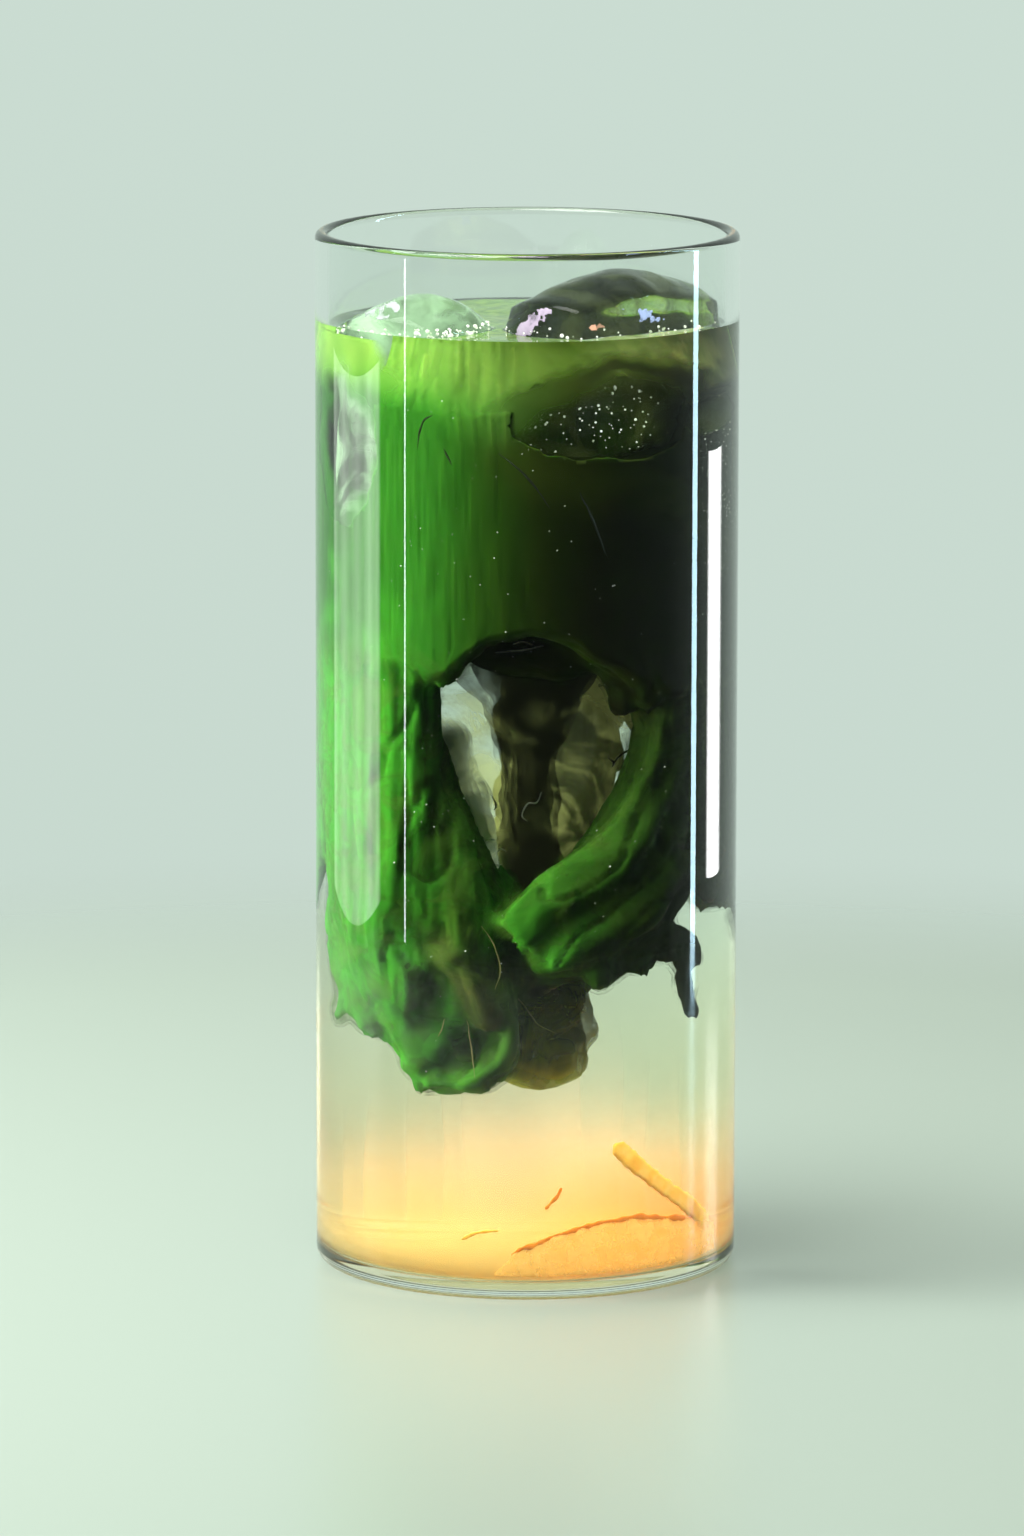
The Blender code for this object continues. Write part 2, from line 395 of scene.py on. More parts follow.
def makeWorld():
    world = bpy.data.worlds.new("studio")
    scene.world = world
    world.use_nodes = True
    tree = world.node_tree
    tree.nodes.clear()
    out = tree.nodes.new("ShaderNodeOutputWorld")
    path = tree.nodes.new("ShaderNodeLightPath")
    place = tree.nodes.new("ShaderNodeTexCoord")
    split = tree.nodes.new("ShaderNodeSeparateXYZ")
    tree.links.new(place.outputs["Generated"], split.inputs[0])
    # The wall is a little darker below, where a table would be
    wall = ramp(tree, mapRange(tree, split.outputs[2], -0.25, 0.1),
                [(0, tuple(c * 0.93 for c in stage["wall"])), (1, stage["wall"])])
    lent = ramp(tree, mapRange(tree, split.outputs[2], -0.6, 0.8),
                [(0, tuple(c * 0.5 for c in stage["ambient"])), (1, stage["ambient"])])
    # The glass mirrors the room: dim on the viewer's side, the pale wall behind
    room = ramp(tree, mapRange(tree, split.outputs[1], -0.2, 0.95),
                [(0, stage["room"]), (1, stage["wall"])])
    seesThrough = mathNode(tree, "MAXIMUM", path.outputs["Is Camera Ray"],
                           path.outputs["Is Transmission Ray"])
    mirrored = mixColour(tree, path.outputs["Is Glossy Ray"], lent, room)
    colour = mixColour(tree, seesThrough, mirrored, wall)
    shown = tree.nodes.new("ShaderNodeBackground")
    tree.links.new(colour, shown.inputs["Color"])
    tree.links.new(shown.outputs[0], out.inputs["Surface"])


lamps = {
    # azimuth in degrees from the viewer's side towards +X, distance, height, width and tall in metres, power,
    # colour, what it does, and for some how bright it is across its width. One that lights isn't seen in the
    # glass, one that shines shows only there, and both does both.
    "keyLeft": (-86, 0.6, 0.2, 0.3, 0.5, 7.0, (1.0, 1.0, 0.95), "lights", ()),
    "topSoft": (-60, 0.22, 0.8, 0.4, 0.4, 5.0, (1.0, 1.0, 0.97), "both", ()),
    "bandLeft": (-105.8, 0.45, 0.0235, 0.36, 0.107, 0.82, (0.97, 1.0, 0.96), "shines",
                 ((0, 0.0), (0.05, 0.3), (0.16, 0.18), (0.3, 0.4), (0.44, 0.3), (0.58, 0.55), (0.68, 0.42),
                  (0.8, 0.85), (0.88, 0.62), (0.95, 0.7), (1, 0.0))),
    "stripLeft": (-68, 0.6, 0.015, 0.01, 0.15, 0.085, (0.95, 1.0, 1.0), "shines", ()),
    "stripRight": (101, 0.47, 0.05, 0.034, 1.2, 2.2, (0.56, 0.84, 0.98), "shines", ()),
    "fillFront": (35, 0.6, 0.45, 0.5, 0.5, 9.4, (1.0, 1.0, 0.97), "lights", ()),
    "fillBack": (170, 0.6, 0.45, 0.5, 0.5, 7.3, (1.0, 1.0, 0.97), "lights", ()),
    "iceGlow": (24, 0.5, 0.12, 0.3, 0.3, 0.75, (1.0, 1.0, 0.92), "lights", ()),
    "leftGlow": (-62, 0.4, -0.1, 0.2, 0.2, 0.9, (1.0, 1.0, 0.98), "lights", ()),
    "lowLeft": (-68, 0.5, 0.02, 0.3, 0.3, 1.2, (1.0, 1.0, 0.96), "lights", ()),
    "bandRight": (118.3, 0.25, 0.053, 0.074, 0.074, 0.22, (1.0, 1.0, 1.0), "shines",
                  ((0, 0.0), (0.12, 0.9), (0.75, 1.0), (0.9, 0.25), (1, 0.0))),
}


def stripeLamp(data, stripes):
    # Brightness across the lamp's width, as (place, brightness) stops
    data.use_nodes = True
    tree = data.node_tree
    shown = tree.nodes["Emission"]
    place = tree.nodes.new("ShaderNodeNewGeometry")
    split = tree.nodes.new("ShaderNodeSeparateXYZ")
    tree.links.new(place.outputs["Parametric"], split.inputs[0])
    strength = ramp(tree, split.outputs[0], [(at, (value, value, value)) for at, value in stripes])
    tree.links.new(strength, shown.inputs["Strength"])


def makeLamps():
    for name, (azimuth, distance, height, width, tall, power, colour, does, stripes) in lamps.items():
        data = bpy.data.lights.new(name, "AREA")
        data.shape = "RECTANGLE"
        data.size, data.size_y = width, tall
        data.energy = power
        data.color = colour
        if stripes:
            stripeLamp(data, stripes)
        obj = bpy.data.objects.new(name, data)
        scene.collection.objects.link(obj)
        a = math.radians(azimuth)
        obj.location = (distance * math.sin(a), -distance * math.cos(a), height)
        aim = Vector((0, 0, min(max(height, 0.0), 0.1))) - obj.location
        obj.rotation_euler = aim.to_track_quat("-Z", "Y").to_euler()
        obj.visible_camera = False
        obj.visible_transmission = False
        obj.visible_diffuse = does != "shines"
        obj.visible_glossy = does != "lights"


def lightOnly(lamp, pieces, unshaded=False):
    # Lamps whose names start so light only these pieces. Unshaded, nothing else shades them.
    receivers = bpy.data.collections.new(lamp + "Lit")
    for piece in pieces:
        receivers.objects.link(piece)
    for obj in scene.objects:
        if obj.type == "LIGHT" and obj.name.startswith(lamp):
            obj.light_linking.receiver_collection = receivers
            if unshaded:
                obj.light_linking.blocker_collection = receivers


# Glass

def glassMaterial(name, mirror):
    # Mirror is how strongly it reflects face on: the wall that the drink wets hardly does
    finish, tree, shader = newMaterial(name)
    setInputs(shader, Specular_Tint=(mirror, mirror, mirror, 1), Base_Color=(0.955, 0.985, 0.965, 1),
              Transmission_Weight=1, Roughness=0.0, IOR=1.5)
    return finish


def makeGlass():
    wall = outerRadius - boreRadius
    foot, inner, rim = 2.0 * mm, 1.6 * mm, wall / 2
    near = 0.25 * mm    # loops this near to the arcs keep the shading of the walls straight
    profile = [(0, 0.25 * mm), (outerRadius * 0.55, 0.25 * mm), (outerRadius * 0.8, 0.12 * mm)]
    profile += [(outerRadius - foot - 1.0 * mm, 0), (outerRadius - foot, 0)]
    profile += list(arc(outerRadius - foot, foot, foot, -90, 0, 12))[1:]
    profile += [(outerRadius, foot + near)]
    profile += [(outerRadius, rimHeight * t) for t in (0.1, 0.3, 0.5, 0.7, 0.9)]
    profile += [(outerRadius, rimHeight - rim - near)]
    profile += list(arc(outerRadius - rim, rimHeight - rim, rim, 0, 180, 14))
    profile += [(boreRadius, height) for height in (rimHeight - rim - near, fillLevel + 3 * mm, fillLevel)]
    profile += [(boreRadius, rimHeight * t) for t in (0.7, 0.5, 0.3, 0.1)]
    profile += [(boreRadius, floorTop + inner + near)]
    profile += list(arc(boreRadius - inner, floorTop + inner, inner, 0, -90, 10))
    profile += [(boreRadius - inner - near, floorTop), (boreRadius * 0.5, floorTop), (0, floorTop)]
    obj = addPiece("glassBody", turnedMesh("glassBody", profile, 192), glassMaterial("clearGlass", 1.0))
    obj.data.materials.append(glassMaterial("wettedGlass", 0.06))
    for face in obj.data.polygons:
        middle = face.center
        inBore = math.hypot(middle.x, middle.y) < boreRadius + 0.2 * mm
        if inBore and floorTop - 1 * mm < middle.z < fillLevel:
            face.material_index = 1
    return finishPiece(obj, ["glass"], shadow=False)


# Ice

ice = {
    # Widen spreads what stands out of the drink
    "iceRight": {"node": "ice_right", "dent": 0.55, "seed": 3, "widen": 0.0},
    "iceLeft": {"node": "ice_left", "dent": 0.45, "seed": 8, "widen": 0.30},
}


def iceMaterial(name, ior, tint):
    finish, tree, shader = newMaterial(name)
    setInputs(shader, Base_Color=(*tint, 1), Specular_Tint=(0.5, 0.5, 0.5, 1), Transmission_Weight=1,
              Roughness=0.0, IOR=ior)
    coordinates = placeOf(tree)
    dents = noiseOn(tree, coordinates, Scale=220.0, Detail=2.0)
    bumpFrom(tree, dents, shader, 0.25, 0.0006)
    return finish


def mergedCopy(name, node):
    # A node's mesh is loose triangles, so a copy is sewn first
    mesh = frame["nodes"][node].data.copy()
    reshape(mesh, lambda shape: bmesh.ops.remove_doubles(shape, verts=shape.verts, dist=0.002 * mm))
    outwards(mesh)
    mesh.materials.clear()
    mesh.name = name
    forget(mesh, ("sharp_edge", "custom_normal"))
    return mesh


def makeIce(name, spec, finish):
    obj = addPiece(name, mergedCopy(name, spec["node"]), finish)
    low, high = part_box(spec["node"])
    fuse(obj, 0.6 * mm)
    soften = obj.modifiers.new("soften", "SMOOTH")
    soften.iterations = 12
    soften.factor = 0.6
    settle(obj)
    mesh = obj.data
    offset = Vector((spec["seed"] * 7.1, 3.3, 1.7))
    points, normals, edges = arrays(mesh)
    for index, (point, normal) in enumerate(zip(points, normals)):
        p = Vector(point)
        dent = noise.noise(p * 110 + offset) * 0.7 + noise.noise(p * 260 + offset) * 0.3
        out = p + Vector(normal) * dent * spec["dent"] * mm
        rise = min(1, max(0, (p.z - fillLevel + 12 * mm) / (10 * mm)))
        out.x += (out.x - (low.x + high.x) / 2) * spec["widen"] * rise * rise * (3 - 2 * rise)
        reach = math.hypot(out.x, out.y)
        limit = (boreRadius - 0.35 * mm) / max(reach, boreRadius - 0.35 * mm)
        points[index] = (out.x * limit, out.y * limit, min(max(out.z, low.z), high.z))
    place(mesh, points)
    mesh.shade_smooth()
    return obj


def frostMaterial(name, strength, tint):
    # Trapped air inside the ice; where its tint is near black it is painted shade
    finish, tree, shader = newMaterial(name)
    coordinates = placeOf(tree)
    cloudy = noiseOn(tree, coordinates, Scale=85.0, Detail=4.0, Roughness=0.6, Distortion=1.2)
    tree.links.new(mapRange(tree, cloudy, 0.42, 0.66, 0.04, strength), shader.inputs["Alpha"])
    tree.links.new(ramp(tree, cloudy, [(0.3, tuple(c * 0.8 for c in tint)), (0.7, tint)]),
                   shader.inputs["Base Color"])
    setInputs(shader, Roughness=0.9, Specular_IOR_Level=0.1)
    return finish


middle = {"centre": (0.5, -4.5, 77.0), "half": (14.5, 7.5, 19.5), "dent": 1.4, "seed": 5}


def makeMiddleIce(finish):
    # A sunken piece that shows in the gap of the cloud
    offset = Vector((middle["seed"] * 3.7, 1.1, 4.2))

    def placed(p):
        boxy = Vector([math.copysign(abs(c) ** 0.8, c) for c in p])
        dent = noise.noise(p * 1.6 + offset) * 1.0 + noise.noise(p * 4.1 + offset) * 0.35
        return (Vector(middle["centre"]) + Vector([c * h for c, h in zip(boxy, middle["half"])])
                + p * dent * middle["dent"]) * mm
    obj = addPiece("iceMiddle", ballMesh("iceMiddle", placed), finish)
    return finishPiece(obj, shadow=False)


frost = {
    # depth under the skin in millimetres, greatest alpha, colour
    # The right ice's near-black frost is painted shade, the dark of the cloud seen through its dome
    "iceRight": {"depth": 1.0, "strength": 0.60, "tint": (0.040, 0.052, 0.014)},
    "iceLeft": {"depth": 1.0, "strength": 0.60, "tint": (0.50, 0.76, 0.47)},
    "iceMiddle": {"depth": 1.0, "strength": 0.55, "tint": (0.58, 0.63, 0.20)},
}


def makeFrost(piece):
    spec = frost[piece.name]
    finish = frostMaterial(piece.name + "Frost", spec["strength"], spec["tint"])
    core = offsetCopy(piece, piece.name + "Frost", -spec["depth"] * mm)
    coat(core.data, finish)
    return finishPiece(core, shadow=False)


# Drink

drink = {"meniscus": 0.8, "meniscusBack": 0.15, "ripple": 0.22, "overlap": 0.1}


def drinkMaterial():
    finish, tree, shader = newMaterial("drinkClear")
    setInputs(shader, Specular_Tint=(0.08, 0.08, 0.08, 1), Transmission_Weight=1, Roughness=0.0, IOR=1.335)
    coordinates, split = heightOf(tree)
    colour = ramp(tree, mapRange(tree, split[2], 0.0, 0.10),
                  [(0, (0.97, 0.86, 0.55)), (0.2, (0.97, 0.92, 0.70)), (0.5, (0.95, 0.97, 0.88)),
                   (1, (0.93, 0.98, 0.93))])
    tree.links.new(colour, shader.inputs["Base Color"])
    return finish


def surfaceHeight(x, y, z):
    # Lifts the free surface at the glass and gives it slow ripples
    if z < fillLevel - 0.01 * mm:
        return (x, y, z)
    reach = math.hypot(x, y)
    front = min(1, max(0, 0.5 - y / boreRadius))
    tallest = drink["meniscusBack"] * (1 - front) + drink["meniscus"] * front
    rise = tallest * mm * math.exp((reach - boreRadius) / (1.3 * mm))
    ripple = noise.noise(Vector((x * 140, y * 140, 3.7))) * drink["ripple"] * mm
    return (x, y, z + rise + ripple * min(1, (boreRadius + 0.0005 - reach) / (2 * mm)))


def makeDrink(cavities, finish):
    outer = boreRadius + drink["overlap"] * mm
    low = floorTop - drink["overlap"] * mm
    inner = 1.6 * mm
    profile = [(0, low), (outer * 0.5, low), (outer - inner - 0.25 * mm, low)]
    profile += list(arc(outer - inner, low + inner, inner, -90, 0, 10)) + [(outer, low + inner + 0.25 * mm)]
    profile += [(outer, low + (fillLevel - low) * t) for t in (0.1, 0.25, 0.4, 0.55, 0.7, 0.85, 0.95)]
    steps = 44
    profile += [(outer * (1 - (step / steps)) ** 0.8, fillLevel) for step in range(steps)]
    profile += [(0, fillLevel)]
    obj = addPiece("drinkBody", turnedMesh("drinkBody", profile, 192, surfaceHeight), finish)
    for cavity in cavities:
        cut(obj, cavity)
    settle(obj)
    obj.data.shade_smooth()
    coat(obj.data, finish)
    return finishPiece(obj, ["tonic", "syrup"], shadow=False)


# Haze, the cloudy citrus that rises from the bottom of the drink

haze = {
    # radius of each veil and the heights, in millimetres, between which it thins out
    "veils": ((27.3, 9, 24), (24.0, 9, 25), (20.5, 10, 28), (17.0, 11, 31), (13.5, 12, 34), (10.0, 13, 38),
              (6.5, 14, 42)),
    "alpha": 0.15, "swirl": 7.0, "wobble": 1.6,
}


def hazeMaterial():
    finish, tree, shader = newMaterial("citrusHaze")
    coordinates, split = heightOf(tree)
    drift = noiseOn(tree, coordinates, Scale=28.0, Detail=3.0, Distortion=0.8)
    lifted = mathNode(tree, "MULTIPLY_ADD", drift, -0.014)
    tree.links.new(split[2], lifted.node.inputs[2])
    height = mapRange(tree, lifted, -0.006, 0.050)
    height.node.interpolation_type = "LINEAR"
    colour = ramp(tree, height, [
        (0, (0.86, 0.62, 0.21)), (0.14, (0.84, 0.61, 0.23)), (0.25, (0.82, 0.60, 0.32)),
        (0.36, (0.76, 0.62, 0.40)), (0.58, (0.60, 0.60, 0.50)), (1, (0.52, 0.60, 0.55))])
    right = mapRange(tree, split[0], -0.006, 0.018)
    low = mapRange(tree, split[2], 0.020, 0.005)
    warm = mixColour(tree, mathNode(tree, "MULTIPLY", right, low), colour, (0.95, 0.42, 0.055))
    tree.links.new(warm, shader.inputs["Base Color"])
    thickness = attributeOf(tree, "hazeThickness")
    tree.links.new(thickness, shader.inputs["Alpha"])
    setInputs(shader, Roughness=1.0, Specular_IOR_Level=0.0)
    return finish


def makeHaze():
    finish = hazeMaterial()
    made = []
    for index, (radius, full, gone) in enumerate(haze["veils"]):
        r, low = radius * mm, floorTop + (0.6 + 0.4 * index) * mm
        profile = [(0, low), (r * 0.6, low)] + list(arc(r - 2 * mm, low + 2 * mm, 2 * mm, -90, 0, 6))
        steps = int((gone + 8) / 2)
        top = (gone + 8) * mm
        profile += [(r, low + 2 * mm + (top - low - 2 * mm) * (k + 1) / steps) for k in range(steps)]
        profile += [(0, top)]
        mesh = turnedMesh("haze", profile, 96)
        thickness = []
        for vert in mesh.vertices:
            place = vert.co
            if index:
                drift = noise.noise(Vector((place.x * 60, place.y * 60, place.z * 40 + index * 9)))
                place.xy *= 1 + drift * haze["wobble"] * mm / r
            swirled = Vector((place.x * 45, place.y * 45, place.z * 28 + index * 5))
            swirl = haze["swirl"] * noise.noise(swirled)
            t = min(1, max(0, (place.z / mm + swirl - full) / (gone - full)))
            thickness.append(haze["alpha"] * (1 - t * t * (3 - 2 * t)))
        store(mesh, "hazeThickness", thickness)
        obj = addPiece("haze%d" % (index + 1), mesh, finish)
        made.append(finishPiece(obj, shadow=False))
    return made


# Citrus peel and slice at the bottom

citrus = {
    # angle, distance and height points in millimetres
    "strip": {"path": [(26.5, 28.0, 22.4), (34, 28.2, 18.9), (44, 28.2, 15.0), (55, 28.0, 11.3),
                       (66, 27.2, 7.6)], "width": 2.5, "thick": 0.8},
    "rim": {"path": [(-4.5, 28.0, 6.7), (3, 28.1, 8.3), (12, 28.2, 9.9), (22, 28.2, 11.0), (34, 28.1, 11.3),
                     (46, 28.0, 10.4), (58, 27.6, 9.2), (68, 27.0, 7.6)], "thick": 0.30},
    "slice": {"from": -9, "to": 69, "distance": 27.7, "low": 3.3},
    "sliver": {"path": [(6, 27.9, 13.4), (8.5, 28.0, 14.9), (10.5, 27.9, 16.4)], "width": 0.5, "thick": 0.25},
    "shred": {"path": [(-19, 27.6, 8.6), (-14, 27.8, 9.6), (-8, 27.8, 10.1)], "width": 0.4, "thick": 0.22},
}


def citrusMaterial(name, stops, alpha=1.0):
    finish, tree, shader = newMaterial(name)
    coordinates = placeOf(tree)
    pith = noiseOn(tree, coordinates, Scale=420.0, Detail=4.0, Roughness=0.6)
    tree.links.new(ramp(tree, pith, stops), shader.inputs["Base Color"])
    setInputs(shader, Roughness=0.55, Specular_IOR_Level=0.2)
    if alpha < 1:
        fade = mapRange(tree, pith, 0.3, 0.7, alpha * 0.6, alpha)
        tree.links.new(fade, shader.inputs["Alpha"])
    else:
        setInputs(shader, Subsurface_Weight=0.4, Subsurface_Radius=(1.0, 0.5, 0.15),
                  Subsurface_Scale=0.0012)
    bumpFrom(tree, pith, shader, 0.4, 0.0002)
    return finish


def ribbon(name, spec, finish, rough=0.0):
    # A rounded flat band that lies along the wall
    path = [polar(*p) for p in spec["path"]]
    count = 12 * len(path)
    points, sides = [], 10
    centre = smoothPath(path, count)
    for k, p in enumerate(centre):
        along = (centre[min(k + 1, count - 1)] - centre[max(k - 1, 0)]).normalized()
        outward = Vector((p.x, p.y, 0)).normalized()
        across = along.cross(outward).normalized()
        end = min(1, 0.25 + min(k, count - 1 - k) / 3)
        waver = 1 + rough * noise.noise(p * 900)
        for s in range(sides):
            a = 2 * math.pi * s / sides
            flat = Vector([math.copysign(abs(c) ** power, c)
                           for c, power in ((math.cos(a), 0.5), (math.sin(a), 0.7))] + [0])
            width = spec.get("width", spec["thick"] * 2)
            points.append(p + across * (flat.x * width * 0.5 * end * waver * mm)
                          + outward * (flat.y * spec["thick"] * 0.5 * waver * mm)
                          + Vector(noise.noise_vector(p * 500)) * rough * 0.25 * mm)
    mesh = meshFrom(name, points, ringFaces(count, sides))
    outwards(mesh)
    return finishPiece(addPiece(name, mesh, finish))


def makeCitrus():
    orange = citrusMaterial("orangePeel", [(0.3, (0.80, 0.40, 0.05)), (0.5, (0.90, 0.52, 0.09)),
                                           (0.7, (0.95, 0.64, 0.20))])
    rind = citrusMaterial("darkRind", [(0.3, (0.55, 0.17, 0.02)), (0.7, (0.78, 0.30, 0.04))])
    flesh = citrusMaterial("citrusFlesh", [(0.3, (0.92, 0.50, 0.10)), (0.6, (0.95, 0.62, 0.18))], 0.45)
    made = [ribbon("peelStrip", citrus["strip"], orange, 0.3), ribbon("sliceRim", citrus["rim"], rind, 1.2),
            ribbon("peelSliver", citrus["sliver"], rind, 0.8),
            ribbon("peelShred", citrus["shred"], orange, 0.8)]
    spec, points = citrus["slice"], []
    rim = [polar(*p) for p in citrus["rim"]["path"]]
    columns, rows = 60, 8
    for side in (0, 1):
        for k in range(columns + 1):
            t = k / columns
            angle = spec["from"] + (spec["to"] - spec["from"]) * t
            top = min((abs(math.degrees(math.atan2(p.x, -p.y)) - angle), p.z / mm)
                      for p in smoothPath(rim, 60))[1]
            top -= 3.0 * max(0, 0.08 - t) / 0.08
            for row in range(rows + 1):
                w = row / rows
                thick = 0.5 * math.sin(math.pi * (0.08 + 0.84 * w)) * min(1, 8 * t + 0.1, 8 * (1 - t) + 0.1)
                distance = spec["distance"] + (thick if side == 0 else -thick - 0.6)
                points.append(polar(angle, distance, spec["low"] + (top - spec["low"]) * w))
    mesh = meshFrom("citrusSlice", points, slabFaces(columns, rows))
    outwards(mesh)
    made.append(finishPiece(addPiece("citrusSlice", mesh, flesh)))
    return made


# Matcha cloud

tones = {
    # Base colours that the strands carry
    # The darker greens are painted shade: on the side away from the lamps, under the cap and in the hollows
    "vivid": (0.052, 0.33, 0.02), "bright": (0.13, 0.42, 0.045), "deep": (0.034, 0.13, 0.008),
    "dark": (0.02, 0.038, 0.005), "olive": (0.095, 0.16, 0.025), "moss": (0.11, 0.26, 0.035),
    "murk": (0.33, 0.44, 0.05), "straw": (0.5, 0.48, 0.14), "leaf": (0.038, 0.16, 0.008),
    "shadeNight": (0.017, 0.027, 0.0025), "lime": (0.22, 0.37, 0.05), "fresh": (0.23, 0.48, 0.07),
    "hay": (0.56, 0.68, 0.22), "smoke": (0.045, 0.05, 0.03), "grass": (0.032, 0.205, 0.0135),
    "fern": (0.024, 0.104, 0.0055), "shade": (0.022, 0.048, 0.0026), "shadeInk": (0.0085, 0.0115, 0.0013),
    "spring": (0.048, 0.29, 0.019), "coffee": (0.062, 0.064, 0.018), "bronze": (0.08, 0.125, 0.013),
}
plumes = {
    # (angle, distance, height) points, half width along the wall at the start and the end, half depth across,
    # number of strands, first and last tone, and how strongly the painted shade in the creases shows
    # Plumes on the right, the ceiling under the cap, the hollow and the hem band carry dark tones as painted
    # shade
    "lobeFrontLeft": ([(-34, 17, 112), (-33, 19.5, 101), (-30, 20.5, 94.5)], (11, 7), (9, 6), 3,
                      ("vivid", "vivid"), 0.2),
    "lobeLeft": ([(-74, 17, 116), (-72, 21, 100), (-66, 22, 88)], (15, 13), (10, 7), 4, ("vivid", "vivid"),
                 0.2),
    "lobeFront": ([(0, 16, 112), (2, 19, 104), (3, 20, 101)], (11, 8), (9, 5.5), 3, ("deep", "deep"), 0.3),
    "lobeFrontRight": ([(40, 16, 112), (46, 19, 100), (50, 21, 92)], (15, 12), (10, 7.5), 4,
                       ("shadeNight", "shadeNight"), 1.0),
    "lobeRightFinger": ([(34, 21, 100), (38, 21.5, 92), (40, 22, 85.5)], (5, 3.4), (5, 3.2), 3,
                        ("dark", "shadeNight"), 1.0),
    "columnOuter": ([(-72, 21, 104), (-70, 21.5, 84), (-62, 21, 62), (-56, 20, 46)], (14, 10.5), (7.5, 7.5),
                    12, ("vivid", "vivid"), 0.25),
    "columnEdge": ([(-44, 23.5, 100), (-43, 23.5, 84), (-42, 22.5, 66), (-46, 21, 50)], (5, 6), (5, 6), 7,
                   ("vivid", "spring"), 0.15),
    "columnInner": ([(-47, 22, 92), (-44, 21.5, 83), (-38, 21, 75), (-31, 20, 65), (-28, 19, 56),
                     (-27, 18, 47)], (2.4, 6.5), (3, 5), 9, ("olive", "deep"), 0.8),
    "columnVeil": ([(-42, 21.5, 87), (-36, 21.5, 79), (-30, 21, 73.5), (-20, 20.5, 65), (-15.5, 20, 57),
                    (-13.5, 19.5, 51)], (1.1, 1.9), (1.3, 2.0), 5, ("bright", "vivid"), 1.0),
    "bulb": ([(-63, 19, 61), (-57, 19, 50), (-47, 18.5, 39)], (11, 11), (9.5, 9), 12, ("spring", "spring"),
             0.12),
    "bulbLeft": ([(-72, 21, 52), (-66, 21, 44), (-55, 20.5, 38)], (6.5, 6), (6, 6), 6, ("spring", "spring"),
                 0.1),
    "bulbLow": ([(-46, 18.5, 44), (-37, 18, 38), (-27, 17.5, 36.5)], (8, 6), (7.5, 6), 8,
                ("spring", "vivid"), 0.3),
    "bulbRight": ([(-30, 19, 52), (-20, 18, 46), (-13, 17.5, 39)], (6, 3.4), (6, 4), 7, ("olive", "coffee"),
                  0.8),
    "bulbLip": ([(-44, 20.5, 34.5), (-33, 20.5, 31.8), (-21, 20, 31.5), (-11, 18.5, 34), (-7.5, 18, 39),
                 (-10, 18, 45)], (2.6, 1.5), (3.4, 2.0), 4, ("vivid", "moss"), 0.3),
    "hollowBack": ([(-36, 14, 38), (-24, 13, 37), (-14, 13, 40)], (5, 4), (4, 4), 5, ("dark", "dark"), 1.0),
    "rightWall": ([(72, 19, 108), (77, 21, 88), (80, 22.5, 63)], (14, 9), (9, 6), 11, ("shadeNight", "shadeNight"),
                  0.4),
    "sheetHigh": ([(66, 21.5, 88), (59, 21.5, 77), (40, 21, 63.5), (14, 20, 56.3), (3, 19, 51)], (7.2, 6),
                  (6, 6), 12, ("olive", "vivid"), 0.6),
    "sheetLow": ([(60, 22, 64), (42, 22, 57), (22, 20.5, 51.5), (5, 17, 49)], (6.2, 4.8), (5.5, 5), 9,
                 ("shadeNight", "leaf"), 1.0),
    "hemBand": ([(42, 22, 52), (52, 22.5, 50.5), (60, 23.2, 49), (63, 23.8, 45.5)], (3.0, 1.7), (3, 1.7), 5,
                ("dark", "dark"), 0.4),
    "sheetEnd": ([(27, 19.5, 60), (14, 19.5, 55.5), (9, 19.5, 50.5)], (6, 5.6), (5, 5), 6,
                 ("leaf", "vivid"), 0.5),
    "bridge": ([(2, 14, 50), (-6, 12, 46), (-18, 13.5, 43)], (5, 5.5), (5, 5), 7, ("smoke", "smoke"), 0.5),
    "backPlume": ([(150, 8, 114), (140, 5, 84), (130, 4, 60), (150, 5, 44)], (6.5, 4.5), (6, 4), 8,
                  ("deep", "deep"), 1.0),
    "gapFill": ([(-13, 14, 61), (-6, 14, 56), (4, 14, 50)], (2.2, 4.0), (2.2, 3.5), 5, ("vivid", "leaf"),
                0.3),
    "bulbFace": ([(-60, 21.5, 60), (-55, 22, 51), (-45, 22, 44)], (8.5, 7.5), (6, 6), 8,
                 ("spring", "spring"), 0.1),
    "tailWisp": ([(12, 11, 46), (16, 12.5, 42), (20, 13, 40)], (2.6, 1.6), (2.5, 1.6), 3,
                 ("straw", "straw"), 1.0),
    "ceiling": ([(-26, 15, 94.5), (-12, 15, 93), (6, 15, 92.5), (26, 15.5, 91)], (3.0, 4.2), (4, 4), 6,
                ("shadeNight", "shadeNight"), 0.1),
    "backLeftDrape": ([(-114, 21.5, 98), (-106, 22, 78), (-98, 22.5, 60)], (7, 5), (5, 4), 7,
                      ("vivid", "vivid"), 1.0),
    "backRightDrape": ([(112, 21.5, 90), (104, 22, 72), (94, 22.5, 54)], (7, 5), (5, 4), 7,
                       ("deep", "deep"), 1.0),
    "backDrape": ([(150, 21, 100), (156, 21.5, 84), (158, 22, 70)], (5, 3), (4, 3), 5, ("deep", "deep"),
                  1.0),
}
